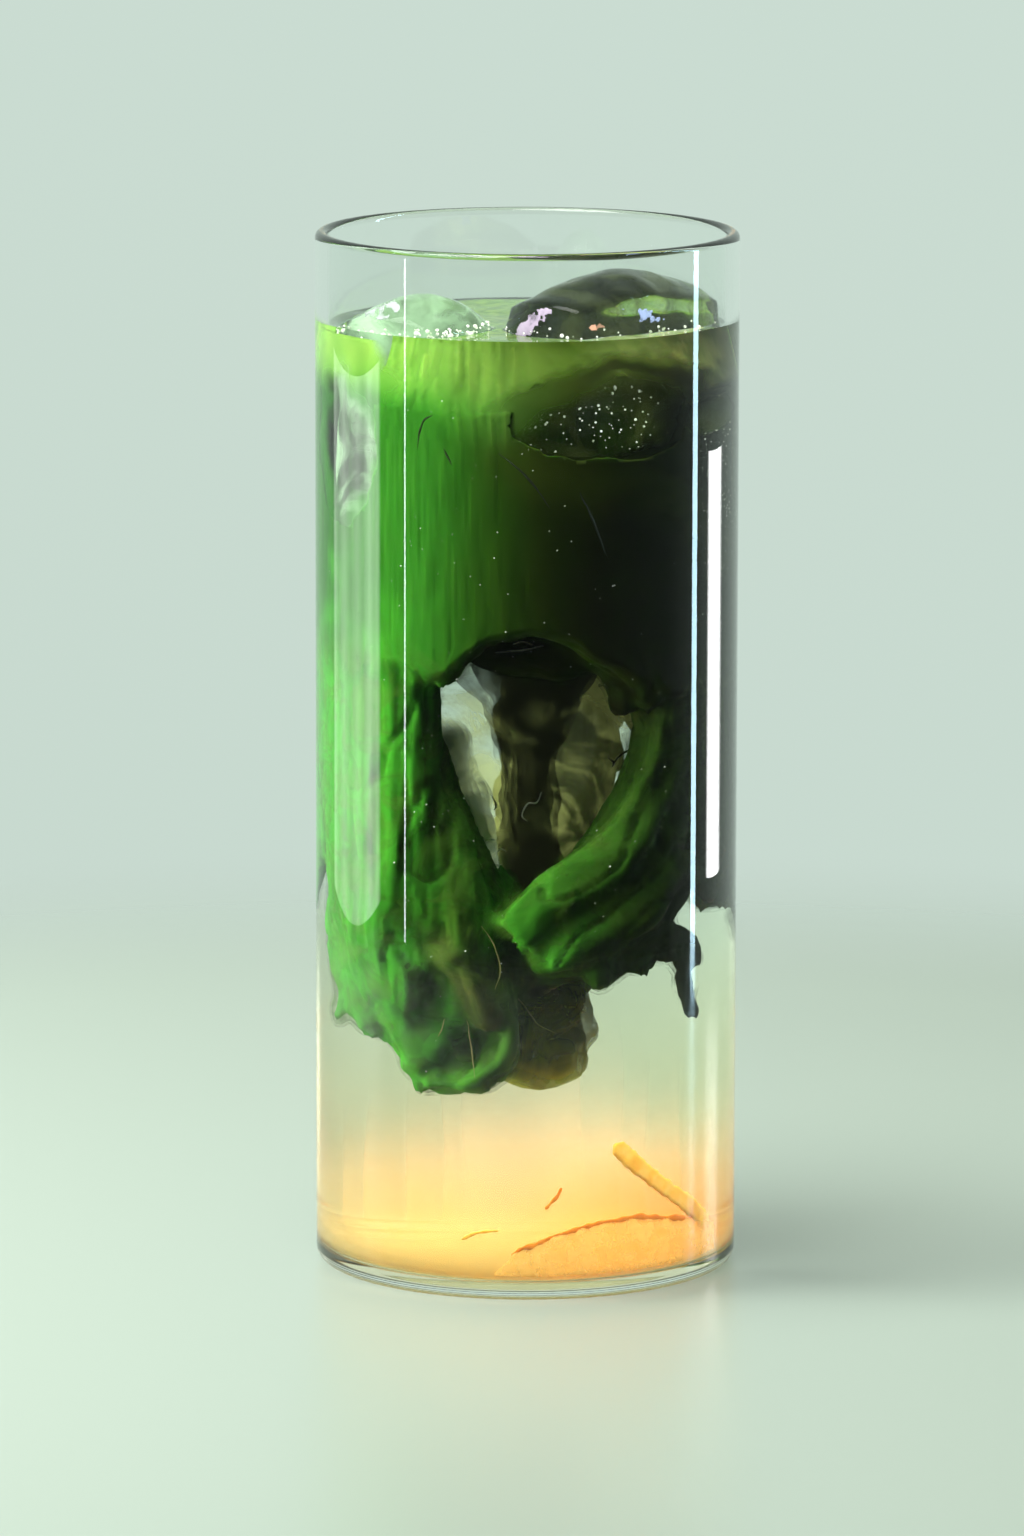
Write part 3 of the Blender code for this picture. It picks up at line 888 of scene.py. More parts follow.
smokes = {
    # Loose matcha in shells that thin out: points as above, half widths along the wall and across it at each
    # point, least and greatest alpha, first and last tone
    "smokeCore": ([(2, 13.5, 98), (2, 13.5, 92), (3, 13.5, 85.5), (1, 13.5, 77), (2, 13.5, 68),
                   (4, 13.5, 60), (4, 13, 54)], (9.5, 9.0, 5.6, 3.5, 3.2, 3.6, 3.4),
                  (4, 4, 3.6, 3.2, 3, 3, 3), (0.12, 0.55), ("shadeNight", "coffee")),
    "smokeLeft": ([(-39, 16.5, 84), (-33, 16.5, 76), (-28, 16.5, 69), (-20, 16, 62), (-14, 15, 54)],
                  (3.0, 3.6, 3.6, 3.4, 2.6), (1.6, 2, 2, 2, 1.6), (0.05, 0.32), ("grass", "vivid")),
    "smokeTail": ([(27, 8, 50), (13, 9.5, 43), (9.5, 10, 36), (9.5, 10, 28.3)], (3.4, 5.2, 6.4, 5.8),
                  (3.4, 5, 6, 5.4), (0.22, 0.8), ("murk", "murk")),
}
drips = {
    # angle, distance, root height, tip height, radius in millimetres, sideways lean in degrees
    "left": (-70, 25, 44, 35.5, 1.5, -6),
    "leftHigh": (-78, 25.5, 56, 48.5, 1.3, -3),
    "leftUnder": (-58, 23, 40, 34.5, 1.5, -2),
    "lip": (-38, 21.5, 34, 27.2, 1.15, -2),
    "lipDark": (-14, 19.5, 35, 30.2, 1.0, 1),
    "hemOne": (27, 22, 51, 42.4, 2.1, 0),
    "hemTwo": (35, 22.5, 51, 45.4, 1.2, 1),
    "hemThree": (41, 23, 51, 45.0, 1.2, 1),
    "hemFour": (47, 23.5, 51, 46.2, 0.9, 1),
    "hemFive": (52, 24, 51, 46.4, 0.9, 1),
    "long": (59, 24, 50, 37.1, 1.3, 5),
    "wall": (84, 25, 62, 56, 2.4, 0),
    "wallTwo": (72, 25, 60, 54, 1.6, -2),
    "back": (106, 24.5, 58, 44, 1.9, 5),
    "backLeft": (-100, 25, 62, 50, 1.7, -4),
    "backTail": (158, 22, 72, 60, 1.5, 3),
}
cap = {
    "hem": [(-180, 100), (-130, 94), (-95, 95), (-60, 96), (-42, 92), (-33, 89.5), (-24, 89.5), (-17, 93.5),
            (-9, 96.5), (2, 97), (12, 96), (22, 92.5), (36, 88.5), (52, 87), (70, 86), (95, 88), (130, 96),
            (180, 100)],
    "roll": 5.0, "recess": 4.5, "recessFrom": 124.0,
}
windows = {
    # The ice shows here: angle, distance, height, and half sizes along the wall, across it and upright
    "left": (-64, 27, 124.5, 8.5, 7.0, 12.5),
    "front": (24, 23, 128.6, 14.5, 12.0, 6.4),
    "spot": (64, 24, 127.6, 8.5, 9.0, 3.2),
}
cloud = {"voxel": 0.69, "quickVoxel": 1.1, "wallGap": 0.12, "topGap": 0.3, "iceGap": 0.18, "seed": 11,
         "fold": 0.8, "crease": 0.7, "streak": 0.14}


def smoothPath(points, count):
    # Catmull-Rom through the points
    ends = [points[0] * 2 - points[1]] + list(points) + [points[-1] * 2 - points[-2]]
    spans = len(points) - 1
    found = []
    for step in range(count):
        at = step / (count - 1) * spans
        k = min(int(at), spans - 1)
        t = at - k
        a, b, c, d = ends[k:k + 4]
        found.append(0.5 * (2 * b + (c - a) * t + (2 * a - 5 * b + 4 * c - d) * t ** 2
                            + (3 * b - a - 3 * c + d) * t ** 3))
    return found


def ringFaces(rings, sides, first=0):
    # Quads between rings of points, and a cap at each end
    faces = []
    for k in range(rings - 1):
        a, b = first + k * sides, first + (k + 1) * sides
        for s in range(sides):
            t = (s + 1) % sides
            faces.append((a + s, a + t, b + t, b + s))
    faces.append(tuple(first + s for s in range(sides))[::-1])
    faces.append(tuple(first + (rings - 1) * sides + s for s in range(sides)))
    return faces


def slabFaces(columns, rows):
    # Two sheets of points back to back, closed along their edges
    wide = rows + 1
    back = (columns + 1) * wide
    faces = []
    for column in range(columns):
        for row in range(rows):
            a = column * wide + row
            faces.append((a, a + wide, a + wide + 1, a + 1))
            faces.append((back + a, back + a + 1, back + a + wide + 1, back + a + wide))
        for a in (column * wide, column * wide + rows):
            faces.append((a, back + a, back + a + wide, a + wide))
    for row in range(rows):
        for a in (row, columns * wide + row):
            faces.append((a, a + 1, back + a + 1, back + a))
    return faces


def tube(points, radii, sides=10):
    # A closed swept tube as points and faces
    count = len(points)
    made = []
    side = Vector((0.3, 0.5, 0.8))
    for k in range(count):
        along = (points[min(k + 1, count - 1)] - points[max(k - 1, 0)]).normalized()
        side = (side - along * side.dot(along)).normalized()
        up = along.cross(side)
        for s in range(sides):
            a = 2 * math.pi * s / sides
            made.append(points[k] + (side * math.cos(a) + up * math.sin(a)) * radii[k])
    return made, ringFaces(count, sides)


def roundedEnds(radii, spacing):
    # Closes a strand at both ends like a finger
    count = len(radii)
    made = []
    for k, radius in enumerate(radii):
        reach = min(k, count - 1 - k) * spacing + 0.25 * spacing
        made.append(radius * math.sqrt(max(0.02, 1 - max(0, 1 - reach / radius) ** 2)))
    return made


def frameAt(centre, k):
    # Along the path, outward from the glass's axis and across, at one of its points
    along = (centre[min(k + 1, len(centre) - 1)] - centre[max(k - 1, 0)]).normalized()
    outward = Vector((centre[k].x, centre[k].y, 0))
    outward = (outward - along * outward.dot(along)).normalized()
    return along, outward, along.cross(outward)


def strandsOf(plume, rng):
    route, spans, depths, number, hues, marks = plume
    path = [polar(*p) for p in route]
    length = sum((b - a).length for a, b in zip(path, path[1:]))
    spacing = 0.9 * mm
    count = max(8, int(length / spacing))
    centre = smoothPath(path, count)
    for k in range(number + 1):
        turn = 2 * math.pi * (k + rng.uniform(-0.3, 0.3)) / number
        out = 0.0 if k == 0 else (0.66 if k % 3 else 0.42)
        twist = rng.uniform(-0.6, 0.6)
        shift = Vector((rng.uniform(0, 50), rng.uniform(0, 50), rng.uniform(0, 50)))
        thick = 0.72 if k == 0 else rng.uniform(0.28, 0.42) * (1 + 3 / number) / 1.3
        tip = rng.uniform(-0.05, 0.05)
        points, radii = [], []
        for step, p in enumerate(centre):
            t = step / (count - 1)
            along, outward, across = frameAt(centre, step)
            span, depth = ((first * (1 - t) + last * t) * mm for first, last in (spans, depths))
            a = turn + twist * t
            wander = noise.noise_vector(p * 90 + shift) * (0.0 if k == 0 else 0.9) * mm
            points.append(p + across * math.cos(a) * span * out + outward * math.sin(a) * depth * out + wander
                          + along * tip * length * t)
            width = min(span, depth) if k == 0 else 0.5 * (span + depth)
            radii.append(thick * width * (1 + 0.2 * noise.noise(p * 120 + shift * 2)))
        first, last = (np.array(tones[tone]) for tone in hues)
        yield points, roundedEnds(radii, spacing), first, last, marks


def dripStrands():
    for angle, distance, root, tip, radius, lean in drips.values():
        ends = [polar(angle, distance - 1.5, root + 2), polar(angle + lean * 0.3, distance, (root + tip) / 2),
                polar(angle + lean, distance + 0.5, tip + radius)]
        count = 14
        radii = []
        for k in range(count):
            t = k / (count - 1)
            radii.append(radius * (1.5 * (1 - t) + 0.62 * t + 0.5 * max(0, (t - 0.7) / 0.3)) * mm)
        # Painted shade: drips further round to the right take darker tones
        tone = np.array(tones["vivid" if angle < -20 else "deep" if angle < 45 else "dark"])
        yield smoothPath(ends, count), roundedEnds(radii, (root - tip) * mm / count), tone, tone, 0.5


def betweenStops(stops, at):
    for (low, lowValue), (high, highValue) in zip(stops, stops[1:]):
        if low <= at <= high:
            t = (at - low) / (high - low)
            t = t * t * (3 - 2 * t)
            return lowValue + (highValue - lowValue) * t
    return stops[-1][1]


def capSolid():
    # The dense top fills the bore. Its hem hangs lower in places, and its shoulder draws back from the glass.
    segments = 120
    reach = boreRadius / mm + 2
    roll = cap["roll"]
    points = []
    heights = [143, 139.6, 137.5, 135.5, 133.5, 131.5, 129.5, 127, cap["recessFrom"], 116, 110]
    for ring in range(len(heights) + 12):
        for step in range(segments):
            angle = -180 + 360 * step / segments
            around = math.radians(angle)
            waver = noise.noise(Vector((math.cos(around) * 3, math.sin(around) * 3, 1)))
            hem = betweenStops(cap["hem"], angle) + waver * 1.2
            if ring < len(heights):
                z = heights[ring]
                back = min(1, max(0, (z - cap["recessFrom"]) / (139.6 - cap["recessFrom"])))
                facing = 0.5 + 0.5 * math.cos(around)
                radius = reach - (2 + cap["recess"] * (0.3 + 0.7 * facing)) * back * back * (3 - 2 * back)
            elif ring < len(heights) + 8:
                a = math.radians(90 * (ring - len(heights) + 1) / 8)
                radius = reach - roll * 1.6 * (1 - math.cos(a))
                z = hem + roll * (1 - math.sin(a))
            else:
                k = (ring - len(heights) - 7) / 4
                radius = (reach - roll * 1.6) * (1 - k)
                z = hem + (113 - hem) * k ** 0.7
            points.append(polar(angle, max(radius, 0.05), z))
    return points, ringFaces(len(heights) + 12, segments)


def makeCloudMesh():
    # The fused solids, and the lines that the matcha flowed along: place, direction, tone, marks and share
    # of the cap's colours
    rng = random.Random(cloud["seed"])
    points, faces, lines = [], [], []
    solids = [capSolid()]
    strands = list(dripStrands())
    for plume in plumes.values():
        strands.extend(strandsOf(plume, rng))
    for strand, radii, first, last, marks in strands:
        solids.append(tube(strand, radii))
        for k, (a, b) in enumerate(zip(strand, strand[1:])):
            t = k / len(strand)
            lines.append((*a, *(b - a).normalized(), *(first * (1 - t) + last * t), marks, 0))
    # The cap flows outwards from its middle, down and to the right
    for k in range(900):
        angle, z = rng.uniform(-180, 180), rng.uniform(91, 140)
        a = math.radians(angle)
        sideways = Vector((math.cos(a), math.sin(a), 0))
        lean = 1.7 * max(0, math.sin(math.radians(angle + 25))) * max(0, min(1, (z - 84) / 26))
        direction = (Vector((0, 0, -1)) + sideways * lean).normalized()
        lines.append((*polar(angle, 27.5, z), *direction, 0, 0, 0, 0.08, 1))
    for madePoints, madeFaces in solids:
        first = len(points)
        points.extend(madePoints)
        faces.extend(tuple(i + first for i in face) for face in madeFaces)
    mesh = meshFrom("matchaCloud", points, faces)
    outwards(mesh)
    return mesh, np.array(lines)


def spread(values, edges, weights, rounds):
    # Averages each point's value with its neighbours', along the edges that weigh most
    count = len(values)
    a, b = edges[:, 0], edges[:, 1]
    total = 1 + np.bincount(a, weights, count) + np.bincount(b, weights, count)
    columns = values.reshape(count, -1)
    for _ in range(rounds):
        columns = np.stack([(c + np.bincount(a, weights * c[b], count)
                             + np.bincount(b, weights * c[a], count)) / total
                            for c in columns.T], axis=1)
    return columns.reshape(values.shape)


def evened(values, edges, rounds):
    return spread(values, edges, np.ones(len(edges)), rounds)


def streaksAlong(flow, points, edges, rounds):
    # Grain drawn out along the flow, with a spread of 1
    ends = points[edges[:, 1]] - points[edges[:, 0]]
    ends /= np.linalg.norm(ends, axis=1, keepdims=True) + 1e-12
    alignment = np.abs((ends * flow[edges[:, 0]]).sum(axis=1)) ** 5 * 3
    streak = spread(np.random.default_rng(4).normal(size=len(points)), edges, alignment, rounds)
    return streak / streak.std()


def flowField(lines, points):
    # Direction, tone, marks and share of the cap at each point, from the nearest lines
    tree = kdtree.KDTree(len(lines))
    for index, line in enumerate(lines):
        tree.insert(line[:3], index)
    tree.balance()
    flow, tint = np.empty((len(points), 3)), np.empty((len(points), 5))
    for index, point in enumerate(points):
        total, tone, weights = np.zeros(3), np.zeros(5), 0
        for _, other, distance in tree.find_n(point, 4):
            direction = lines[other, 3:6]
            weight = 1 / (distance + 0.6 * mm)
            total = total + (-direction if direction @ total < 0 else direction) * weight
            tone = tone + lines[other, 6:] * weight
            weights += weight
        flow[index] = total / (np.linalg.norm(total) + 1e-9)
        tint[index] = tone / weights
    return flow, tint


fan = {
    # The upper edge of the dark fan in the cap, which is painted shade, as (sideways place, height) in
    # millimetres
    "edge": ((-29, 131), (-15, 129), (-9, 124.5), (-5, 122.5), (-1, 125), (8, 130), (25, 132)),
    "softness": 6.5, "surface": (129.5, 137.5),
    # A paler streak runs down to the right through the dark: its line, half width and least x
    "streak": ((-6, 124), (5, 121.5), (15, 119.5), (22, 116), (27, 108)),
    "streakWide": 3.8, "streakFrom": (-9, -2),
    # Tones from left to right: in the fan, darkening to the right as painted shade; above it and at the
    # surface, lighter as painted light from above
    "inside": ((-14, "grass"), (-7, "fern"), (2, "shade"), (10, "shadeInk")),
    "above": ((-14, "vivid"), (-2, "moss"), (8, "lime"), (22, "hay")),
    "top": ((-12, "fresh"), (6, "lime"), (18, "hay")),
}


def eased(values, low, high):
    t = np.clip((values - low) / (high - low), 0, 1)
    return t * t * (3 - 2 * t)


def blended(stops, values):
    # Named tones, blended between their places
    at = [place for place, _ in stops]
    return np.stack([np.interp(values, at, column) for column in zip(*(tones[tone] for _, tone in stops))], 1)


def capShadedColours(points):
    # The cap's base colours with painted light and shade: dark in the fan and towards the right, lighter near
    # the surface
    x, y, z = points.T / mm
    wander = np.array([noise.noise(Vector(p) * 60) + 0.3 * noise.noise(Vector(p) * 140) for p in points])
    along = np.where(y < 0, x, np.minimum(x, 4 - y * 0.6)) + wander * 1.8  # the back gets the same painted shade as the middle
    edge = np.interp(along, *zip(*fan["edge"]))
    above = eased(z + wander * 1.6 - edge, -1, fan["softness"])[:, None]
    top = eased(z + wander * 1.0, *fan["surface"])[:, None]
    inside = blended(fan["inside"], along)
    near = (z + wander * 2.2 - np.interp(x, *zip(*fan["streak"]))) / fan["streakWide"]
    near = np.exp(-near * near) * eased(x, *fan["streakFrom"]) * (y < 0)
    near = (near * np.clip(0.75 + 0.5 * wander, 0, 1))[:, None]
    inside = inside * (1 - near) + np.array(tones["bronze"]) * near
    mixed = inside * (1 - above) + blended(fan["above"], along) * above
    # Painted shade: darker at the far left edge, where the lamps light it most
    mixed = mixed * (1 - 0.4 * eased(-x, 21, 28))[:, None]
    shown = mixed * (1 - top) + blended(fan["top"], along) * top
    # Painted shade: the walls of the windows, and what hangs deeper than the shoulder, are painted dark
    back = eased(z, cap["recessFrom"], 139.6)
    facing = 0.5 - 0.5 * y / np.maximum(np.hypot(x, y), 1e-6)
    shoulder = np.maximum(0, (2 + cap["recess"] * (0.3 + 0.7 * facing)) * back - 2)
    recessShade = boreRadius / mm - np.hypot(x, y) - shoulder
    recessShade = (eased(recessShade, 1.2, 3.0) * (1 - eased(z, 137.6, 138.8)))[:, None]
    return shown * (1 - recessShade) + np.array(tones["shade"]) * recessShade


def combed(point, flow, scale, reach, shift):
    # Noise drawn out along the flow
    total = 0.0
    for k in (-1.0, -0.6, -0.25, 0.0, 0.25, 0.6, 1.0):
        total += noise.noise((point + flow * (k * reach)) * scale + shift)
    return total / 3.4


def makeCloud(iceCutters):
    mesh, lines = makeCloudMesh()
    solids = mesh.copy()
    obj = addPiece("matchaCloud", mesh)
    fuse(obj, cloud["voxel"] * mm)
    settle(obj)
    print("cloud fused:", len(obj.data.vertices), "points")

    # Softens the cap more than the folds below it
    points, normals, edges = arrays(obj.data)
    height = points[:, 2] / mm
    calm = np.clip((height - 84) / 14, 0, 1)
    points = evened(points, edges, 3)
    place(obj.data, points * (1 - calm[:, None]) + evened(points, edges, 9) * calm[:, None])

    points, normals, edges = arrays(obj.data)
    flow, tint = flowField(lines, points)
    lift = np.empty(len(points))
    shift, other = Vector((3.1, 7.7, 1.9)), Vector((9.2, 0.4, 5.5))
    for index, (point, along) in enumerate(zip(points, flow)):
        p, f = Vector(point), Vector(along)
        fold = combed(p, f, 260, 5 * mm, shift)
        groove = combed(p, f, 150, 7 * mm, other)
        lift[index] = fold * cloud["fold"] - cloud["crease"] * max(0.0, 1 - abs(groove) / 0.12)
    streak = streaksAlong(flow, points, edges, 14)
    wild = 0.22 + 0.78 * (1 - calm)
    lift = lift * wild + streak * cloud["streak"] * (0.3 + 0.7 * wild)
    place(obj.data, points + normals * (lift * mm)[:, None])

    points, normals, edges = arrays(obj.data)
    keepInside(points, boreRadius - cloud["wallGap"] * mm)
    points[:, 2] = np.clip(points[:, 2], syrupLevel, fillLevel - cloud["topGap"] * mm)
    place(obj.data, points)
    openings = [makeWindow(name, window) for name, window in windows.items()]
    for cutter in iceCutters + openings:
        cut(obj, cutter)
    settle(obj)
    makeVeils(solids, iceCutters + openings)
    discard(*openings)
    keepLargeBodies(obj.data, 200)

    mesh = obj.data
    points, normals, edges = arrays(mesh)
    flow, tint = flowField(lines, points)
    # The tint carries the strands' tones and the cap's painted light and shade
    marks = evened(tint[:, 3], edges, 4)
    tint = evened(tint[:, :3] + capShadedColours(points) * tint[:, 4:], edges, 3)
    streak = streaksAlong(flow, points, edges, 16)
    broad = np.array([combed(Vector(point), Vector(along), 190, 8 * mm, other)
                      for point, along in zip(points, flow)])
    for name, values in (("streak", 0.5 + 0.22 * streak), ("broad", 0.5 + 0.5 * broad), ("marks", marks),
                         ("tint", tint)):
        store(mesh, name, values)
    mesh.shade_smooth()
    coat(mesh, matchaMaterial())
    print("cloud coloured:", sum(len(face.vertices) - 2 for face in mesh.polygons), "triangles")
    return finishPiece(obj, ["matcha"])


veils = {
    # growth in millimetres and greatest alpha
    "matchaVeilInner": {"growth": 0.25, "alpha": 0.36},
    "matchaVeilOuter": {"growth": 0.75, "alpha": 0.18},
}


def makeVeils(solids, cutters):
    # Loose matcha drifting off the cloud
    for name, spec in veils.items():
        obj = addPiece(name, solids.copy())
        fuse(obj, 1.0 * mm)
        settle(obj)
        points, normals, edges = arrays(obj.data)
        place(obj.data, evened(points, edges, 5))
        points, normals, edges = arrays(obj.data)
        rough = np.array([noise.noise(Vector(p) * 240) + 0.6 * noise.noise(Vector(p) * 520) for p in points])
        points = points + normals * ((spec["growth"] + rough * 0.7) * mm)[:, None]
        keepInside(points, boreRadius - 0.06 * mm)
        points[:, 2] = np.clip(points[:, 2], syrupLevel, fillLevel - 1.2 * mm)
        place(obj.data, points)
        for cutter in cutters:
            cut(obj, cutter)
        settle(obj)
        keepLargeBodies(obj.data, 100)
        finish, tree, shader = newMaterial(name)
        coordinates, split = heightOf(tree)
        loose = noiseOn(tree, coordinates, Scale=210.0, Detail=4.0, Roughness=0.6, Distortion=1.0)
        thin = mapRange(tree, loose, 0.40, 0.62, 0.0, spec["alpha"])
        calmer = mapRange(tree, split[2], 0.088, 0.098, 1.0, 0.12)
        tree.links.new(mathNode(tree, "MULTIPLY", thin, calmer), shader.inputs["Alpha"])
        tree.links.new(ramp(tree, loose, [(0.35, (0.10, 0.13, 0.02)), (0.7, (0.10, 0.30, 0.03))]),
                       shader.inputs["Base Color"])
        setInputs(shader, Roughness=1.0, Specular_IOR_Level=0.0)
        obj.data.shade_smooth()
        coat(obj.data, finish)
        finishPiece(obj, shadow=False)


def makeSmoke(name, spec):
    route, spans, depths, alphas, hues = spec
    path = [polar(*p) for p in route]
    count, sides = 48, 40
    centre = smoothPath(path, count)
    points, faces, ages = [], [], []
    for layer, share in enumerate((0.42, 0.62, 0.78, 0.92, 1.06)):
        first = len(points)
        for k, p in enumerate(centre):
            t = k / (count - 1)
            at = t * (len(path) - 1)
            end = math.sqrt(max(0.004, 1 - max(0, 1 - t / 0.12, (t - 0.74) / 0.26) ** 2))
            along, outward, across = frameAt(centre, k)
            span, depth = (np.interp(at, range(len(path)), sizes) * share * end * mm
                           for sizes in (spans, depths))
            for side in range(sides):
                a = 2 * math.pi * side / sides
                spot = p + across * math.cos(a) * span + outward * math.sin(a) * depth
                rough = 1 + 0.34 * noise.noise(spot * 150 + Vector((layer * 5, 0, 0)))
                rough += 0.16 * noise.noise(spot * 420)
                points.append(p + (spot - p) * rough)
                ages.append(t)
        faces += ringFaces(count, sides, first)
    mesh = meshFrom(name, points, faces)
    outwards(mesh)
    store(mesh, "age", ages)
    finish, tree, shader = newMaterial(name)
    coordinates = placeOf(tree)
    loose = noiseOn(tree, coordinates, Scale=130.0, Detail=4.0, Roughness=0.6, Distortion=0.8)
    age = attributeOf(tree, "age")
    thin = mapRange(tree, loose, 0.34, 0.62, *alphas)
    tree.links.new(mathNode(tree, "MULTIPLY", thin, mapRange(tree, age, 0.0, 0.12)), shader.inputs["Alpha"])
    first, last = (tones[tone] for tone in hues)
    tree.links.new(ramp(tree, age, [(0.1, first), (0.7, last)]), shader.inputs["Base Color"])
    setInputs(shader, Roughness=1.0, Specular_IOR_Level=0.0)
    obj = addPiece(name, mesh, finish)
    return finishPiece(obj, shadow=False)


def makeWindow(name, window):
    angle, distance, height, along, across, upright = window
    turn = Matrix.Rotation(math.radians(angle), 3, "Z")
    centre = polar(angle, distance, height)

    def placed(p):
        rough = 1 + 0.16 * noise.noise(p * 2.2 + centre * 100) + 0.05 * noise.noise(p * 7)
        return centre + turn @ (Vector((p.x * along, p.y * across, p.z * upright)) * rough * mm)
    return addPiece("window" + name, ballMesh(name, placed))


def keepLargeBodies(mesh, least):
    # Drops crumbs that the cuts left
    def dropSmall(shape):
        unseen, doomed = set(shape.verts), []
        while unseen:
            start = unseen.pop()
            body, edge = [start], [start]
            while edge:
                vert = edge.pop()
                found = {link.other_vert(vert) for link in vert.link_edges} & unseen
                unseen.difference_update(found)
                body.extend(found)
                edge.extend(found)
            if len(body) < least:
                doomed.extend(body)
        bmesh.ops.delete(shape, geom=doomed, context="VERTS")
    reshape(mesh, dropSmall)


def matchaMaterial(name="matchaSilk", cover=None):
    # Cover names the attribute that a thin film fades by
    finish, tree, shader = newMaterial(name)
    streak = attributeOf(tree, "streak")
    broad = attributeOf(tree, "broad")
    tint = attributeOf(tree, "tint", "Vector")
    coordinates = placeOf(tree)
    body = mixColour(tree, 1.0, tint,
                     ramp(tree, streak, [(0.05, (0.72, 0.76, 0.66)), (0.45, (1, 1, 1)),
                                         (0.95, (1.45, 1.25, 1.35))]),
                     "MULTIPLY")
    patches = noiseOn(tree, coordinates, Scale=95.0, Detail=3.0, Distortion=0.5)
    marks = attributeOf(tree, "marks")
    # Painted shade in the creases: darker where the broad grain is low, as far as the marks allow
    creaseShade = mathNode(tree, "MULTIPLY", mapRange(tree, broad, 0.32, 0.50, 0.7, 0), marks)
    shade = mixColour(tree, creaseShade, body, mixColour(tree, 1.0, body, (0.40, 0.30, 0.35), "MULTIPLY"))
    browned = mathNode(tree, "MULTIPLY", mapRange(tree, patches, 0.50, 0.68, 0, 0.6), marks)
    olive = mixColour(tree, browned, shade, mixColour(tree, 1.0, shade, (1.15, 0.62, 0.9), "MULTIPLY"))
    swirls = noiseOn(tree, coordinates, Scale=150.0, Detail=2.0, Distortion=2.2)
    nearLine = mathNode(tree, "ABSOLUTE", mathNode(tree, "SUBTRACT", swirls, 0.5), 0)
    thread = mathNode(tree, "MULTIPLY", mapRange(tree, nearLine, 0.022, 0.0, 0, 0.4), marks)
    olive = mixColour(tree, thread, olive, mixColour(tree, 1.0, olive, (2.0, 1.5, 1.8), "MULTIPLY"))
    deepLine = mathNode(tree, "ABSOLUTE", mathNode(tree, "SUBTRACT", swirls, 0.40), 0)
    lined = mathNode(tree, "MULTIPLY", mapRange(tree, deepLine, 0.018, 0.0, 0, 0.55), marks)
    olive = mixColour(tree, lined, olive, mixColour(tree, 1.0, olive, (0.35, 0.3, 0.35), "MULTIPLY"))
    tree.links.new(olive, shader.inputs["Base Color"])
    if cover:
        faded = attributeOf(tree, cover)
        tree.links.new(faded, shader.inputs["Alpha"])
    setInputs(shader, Roughness=0.8, Specular_IOR_Level=0.08, Subsurface_Weight=0.0 if cover else 0.3,
              Subsurface_Radius=(0.35, 1.0, 0.12), Subsurface_Scale=0.001)
    bumpFrom(tree, streak, shader, 0.35, 0.0003)
    return finish


# Thin film of matcha between the glass and the ice

film = {
    # angle, height, half width and half height in millimetres, tilt, and how far the core is clear
    "holes": ((23, 128.6, 14.5, 6.4, 0.10, 0.80), (64, 127.6, 8.5, 3.2, 0.05, 0.85),
              (-62, 124.5, 9.5, 12.5, 0.0, 0.92)),
    "angles": (-88, 84), "low": 110.0, "high": 139.1, "columns": 190, "rows": 60, "inset": 0.28, "thick": 0.1,
}


def makeFilm():
    columns, rows = film["columns"], film["rows"]
    points, cover = [], []
    for column in range(columns + 1):
        angle = film["angles"][0] + (film["angles"][1] - film["angles"][0]) * column / columns
        for row in range(rows + 1):
            z = film["low"] + (film["high"] - film["low"]) * row / rows
            p = Vector(polar(angle, boreRadius / mm - film["inset"], z))
            stretched = Vector((p.x * 90, p.y * 90, p.z * 150))
            rough = sum(share * noise.noise(stretched * scale)
                        for share, scale in ((1, 1), (0.6, 2.3), (0.35, 5.1)))
            ring, clear = 0.0, 0.0
            for at, height, wide, tall, tilt, core in film["holes"]:
                across = math.radians(angle - at) * boreRadius / mm
                away = math.hypot(across / wide, (z - height - across * tilt) / tall) + rough * 0.26
                grow = min(1, max(0, (away - 0.45) / 0.52))
                fall = min(1, max(0, (away - 1.12) / 0.35))
                ring = max(ring, grow * grow * (3 - 2 * grow) * (1 - fall))
                clear = max(clear, (1 - grow) * core)
            wisps = max(0, min(1, (rough - 0.1) / 0.7)) * 0.16 if away < 1.4 else 0
            points.append(p)
            cover.append(min(1, max(ring * (1 - clear), wisps * min(1, ring * 3 + clear * 0.6))))
    shrink = (boreRadius - (film["inset"] + film["thick"]) * mm) / (boreRadius - film["inset"] * mm)
    inner = [p * shrink for p in points]
    for p, q in zip(inner, points):
        p.z = q.z
    mesh = meshFrom("matchaFilm", points + inner, slabFaces(columns, rows))
    outwards(mesh)
    where = np.array([tuple(p) for p in points + inner])
    grain = [0.5 + 0.35 * noise.noise(Vector(p) * 300) for p in where]
    for name, values in (("streak", grain), ("broad", np.full(len(where), 0.6)),
                         ("marks", np.zeros(len(where))), ("cover", cover * 2), ("tint", capShadedColours(where))):
        store(mesh, name, values)
    obj = addPiece("matchaFilm", mesh, matchaMaterial("matchaThin", "cover"))
    return finishPiece(obj, shadow=False)


# Bubbles, specks and threads

def nodeTree(name, inputs):
    tree = bpy.data.node_groups.new(name, "GeometryNodeTree")
    tree.interface.new_socket("Geometry", in_out="INPUT", socket_type="NodeSocketGeometry")
    tree.interface.new_socket("Geometry", in_out="OUTPUT", socket_type="NodeSocketGeometry")
    for label, kind, value in inputs:
        socket = tree.interface.new_socket(label, in_out="INPUT", socket_type="NodeSocket" + kind)
        if value is not None:
            socket.default_value = value
    return tree, tree.nodes.new("NodeGroupInput").outputs, tree.nodes.new("NodeGroupOutput").inputs


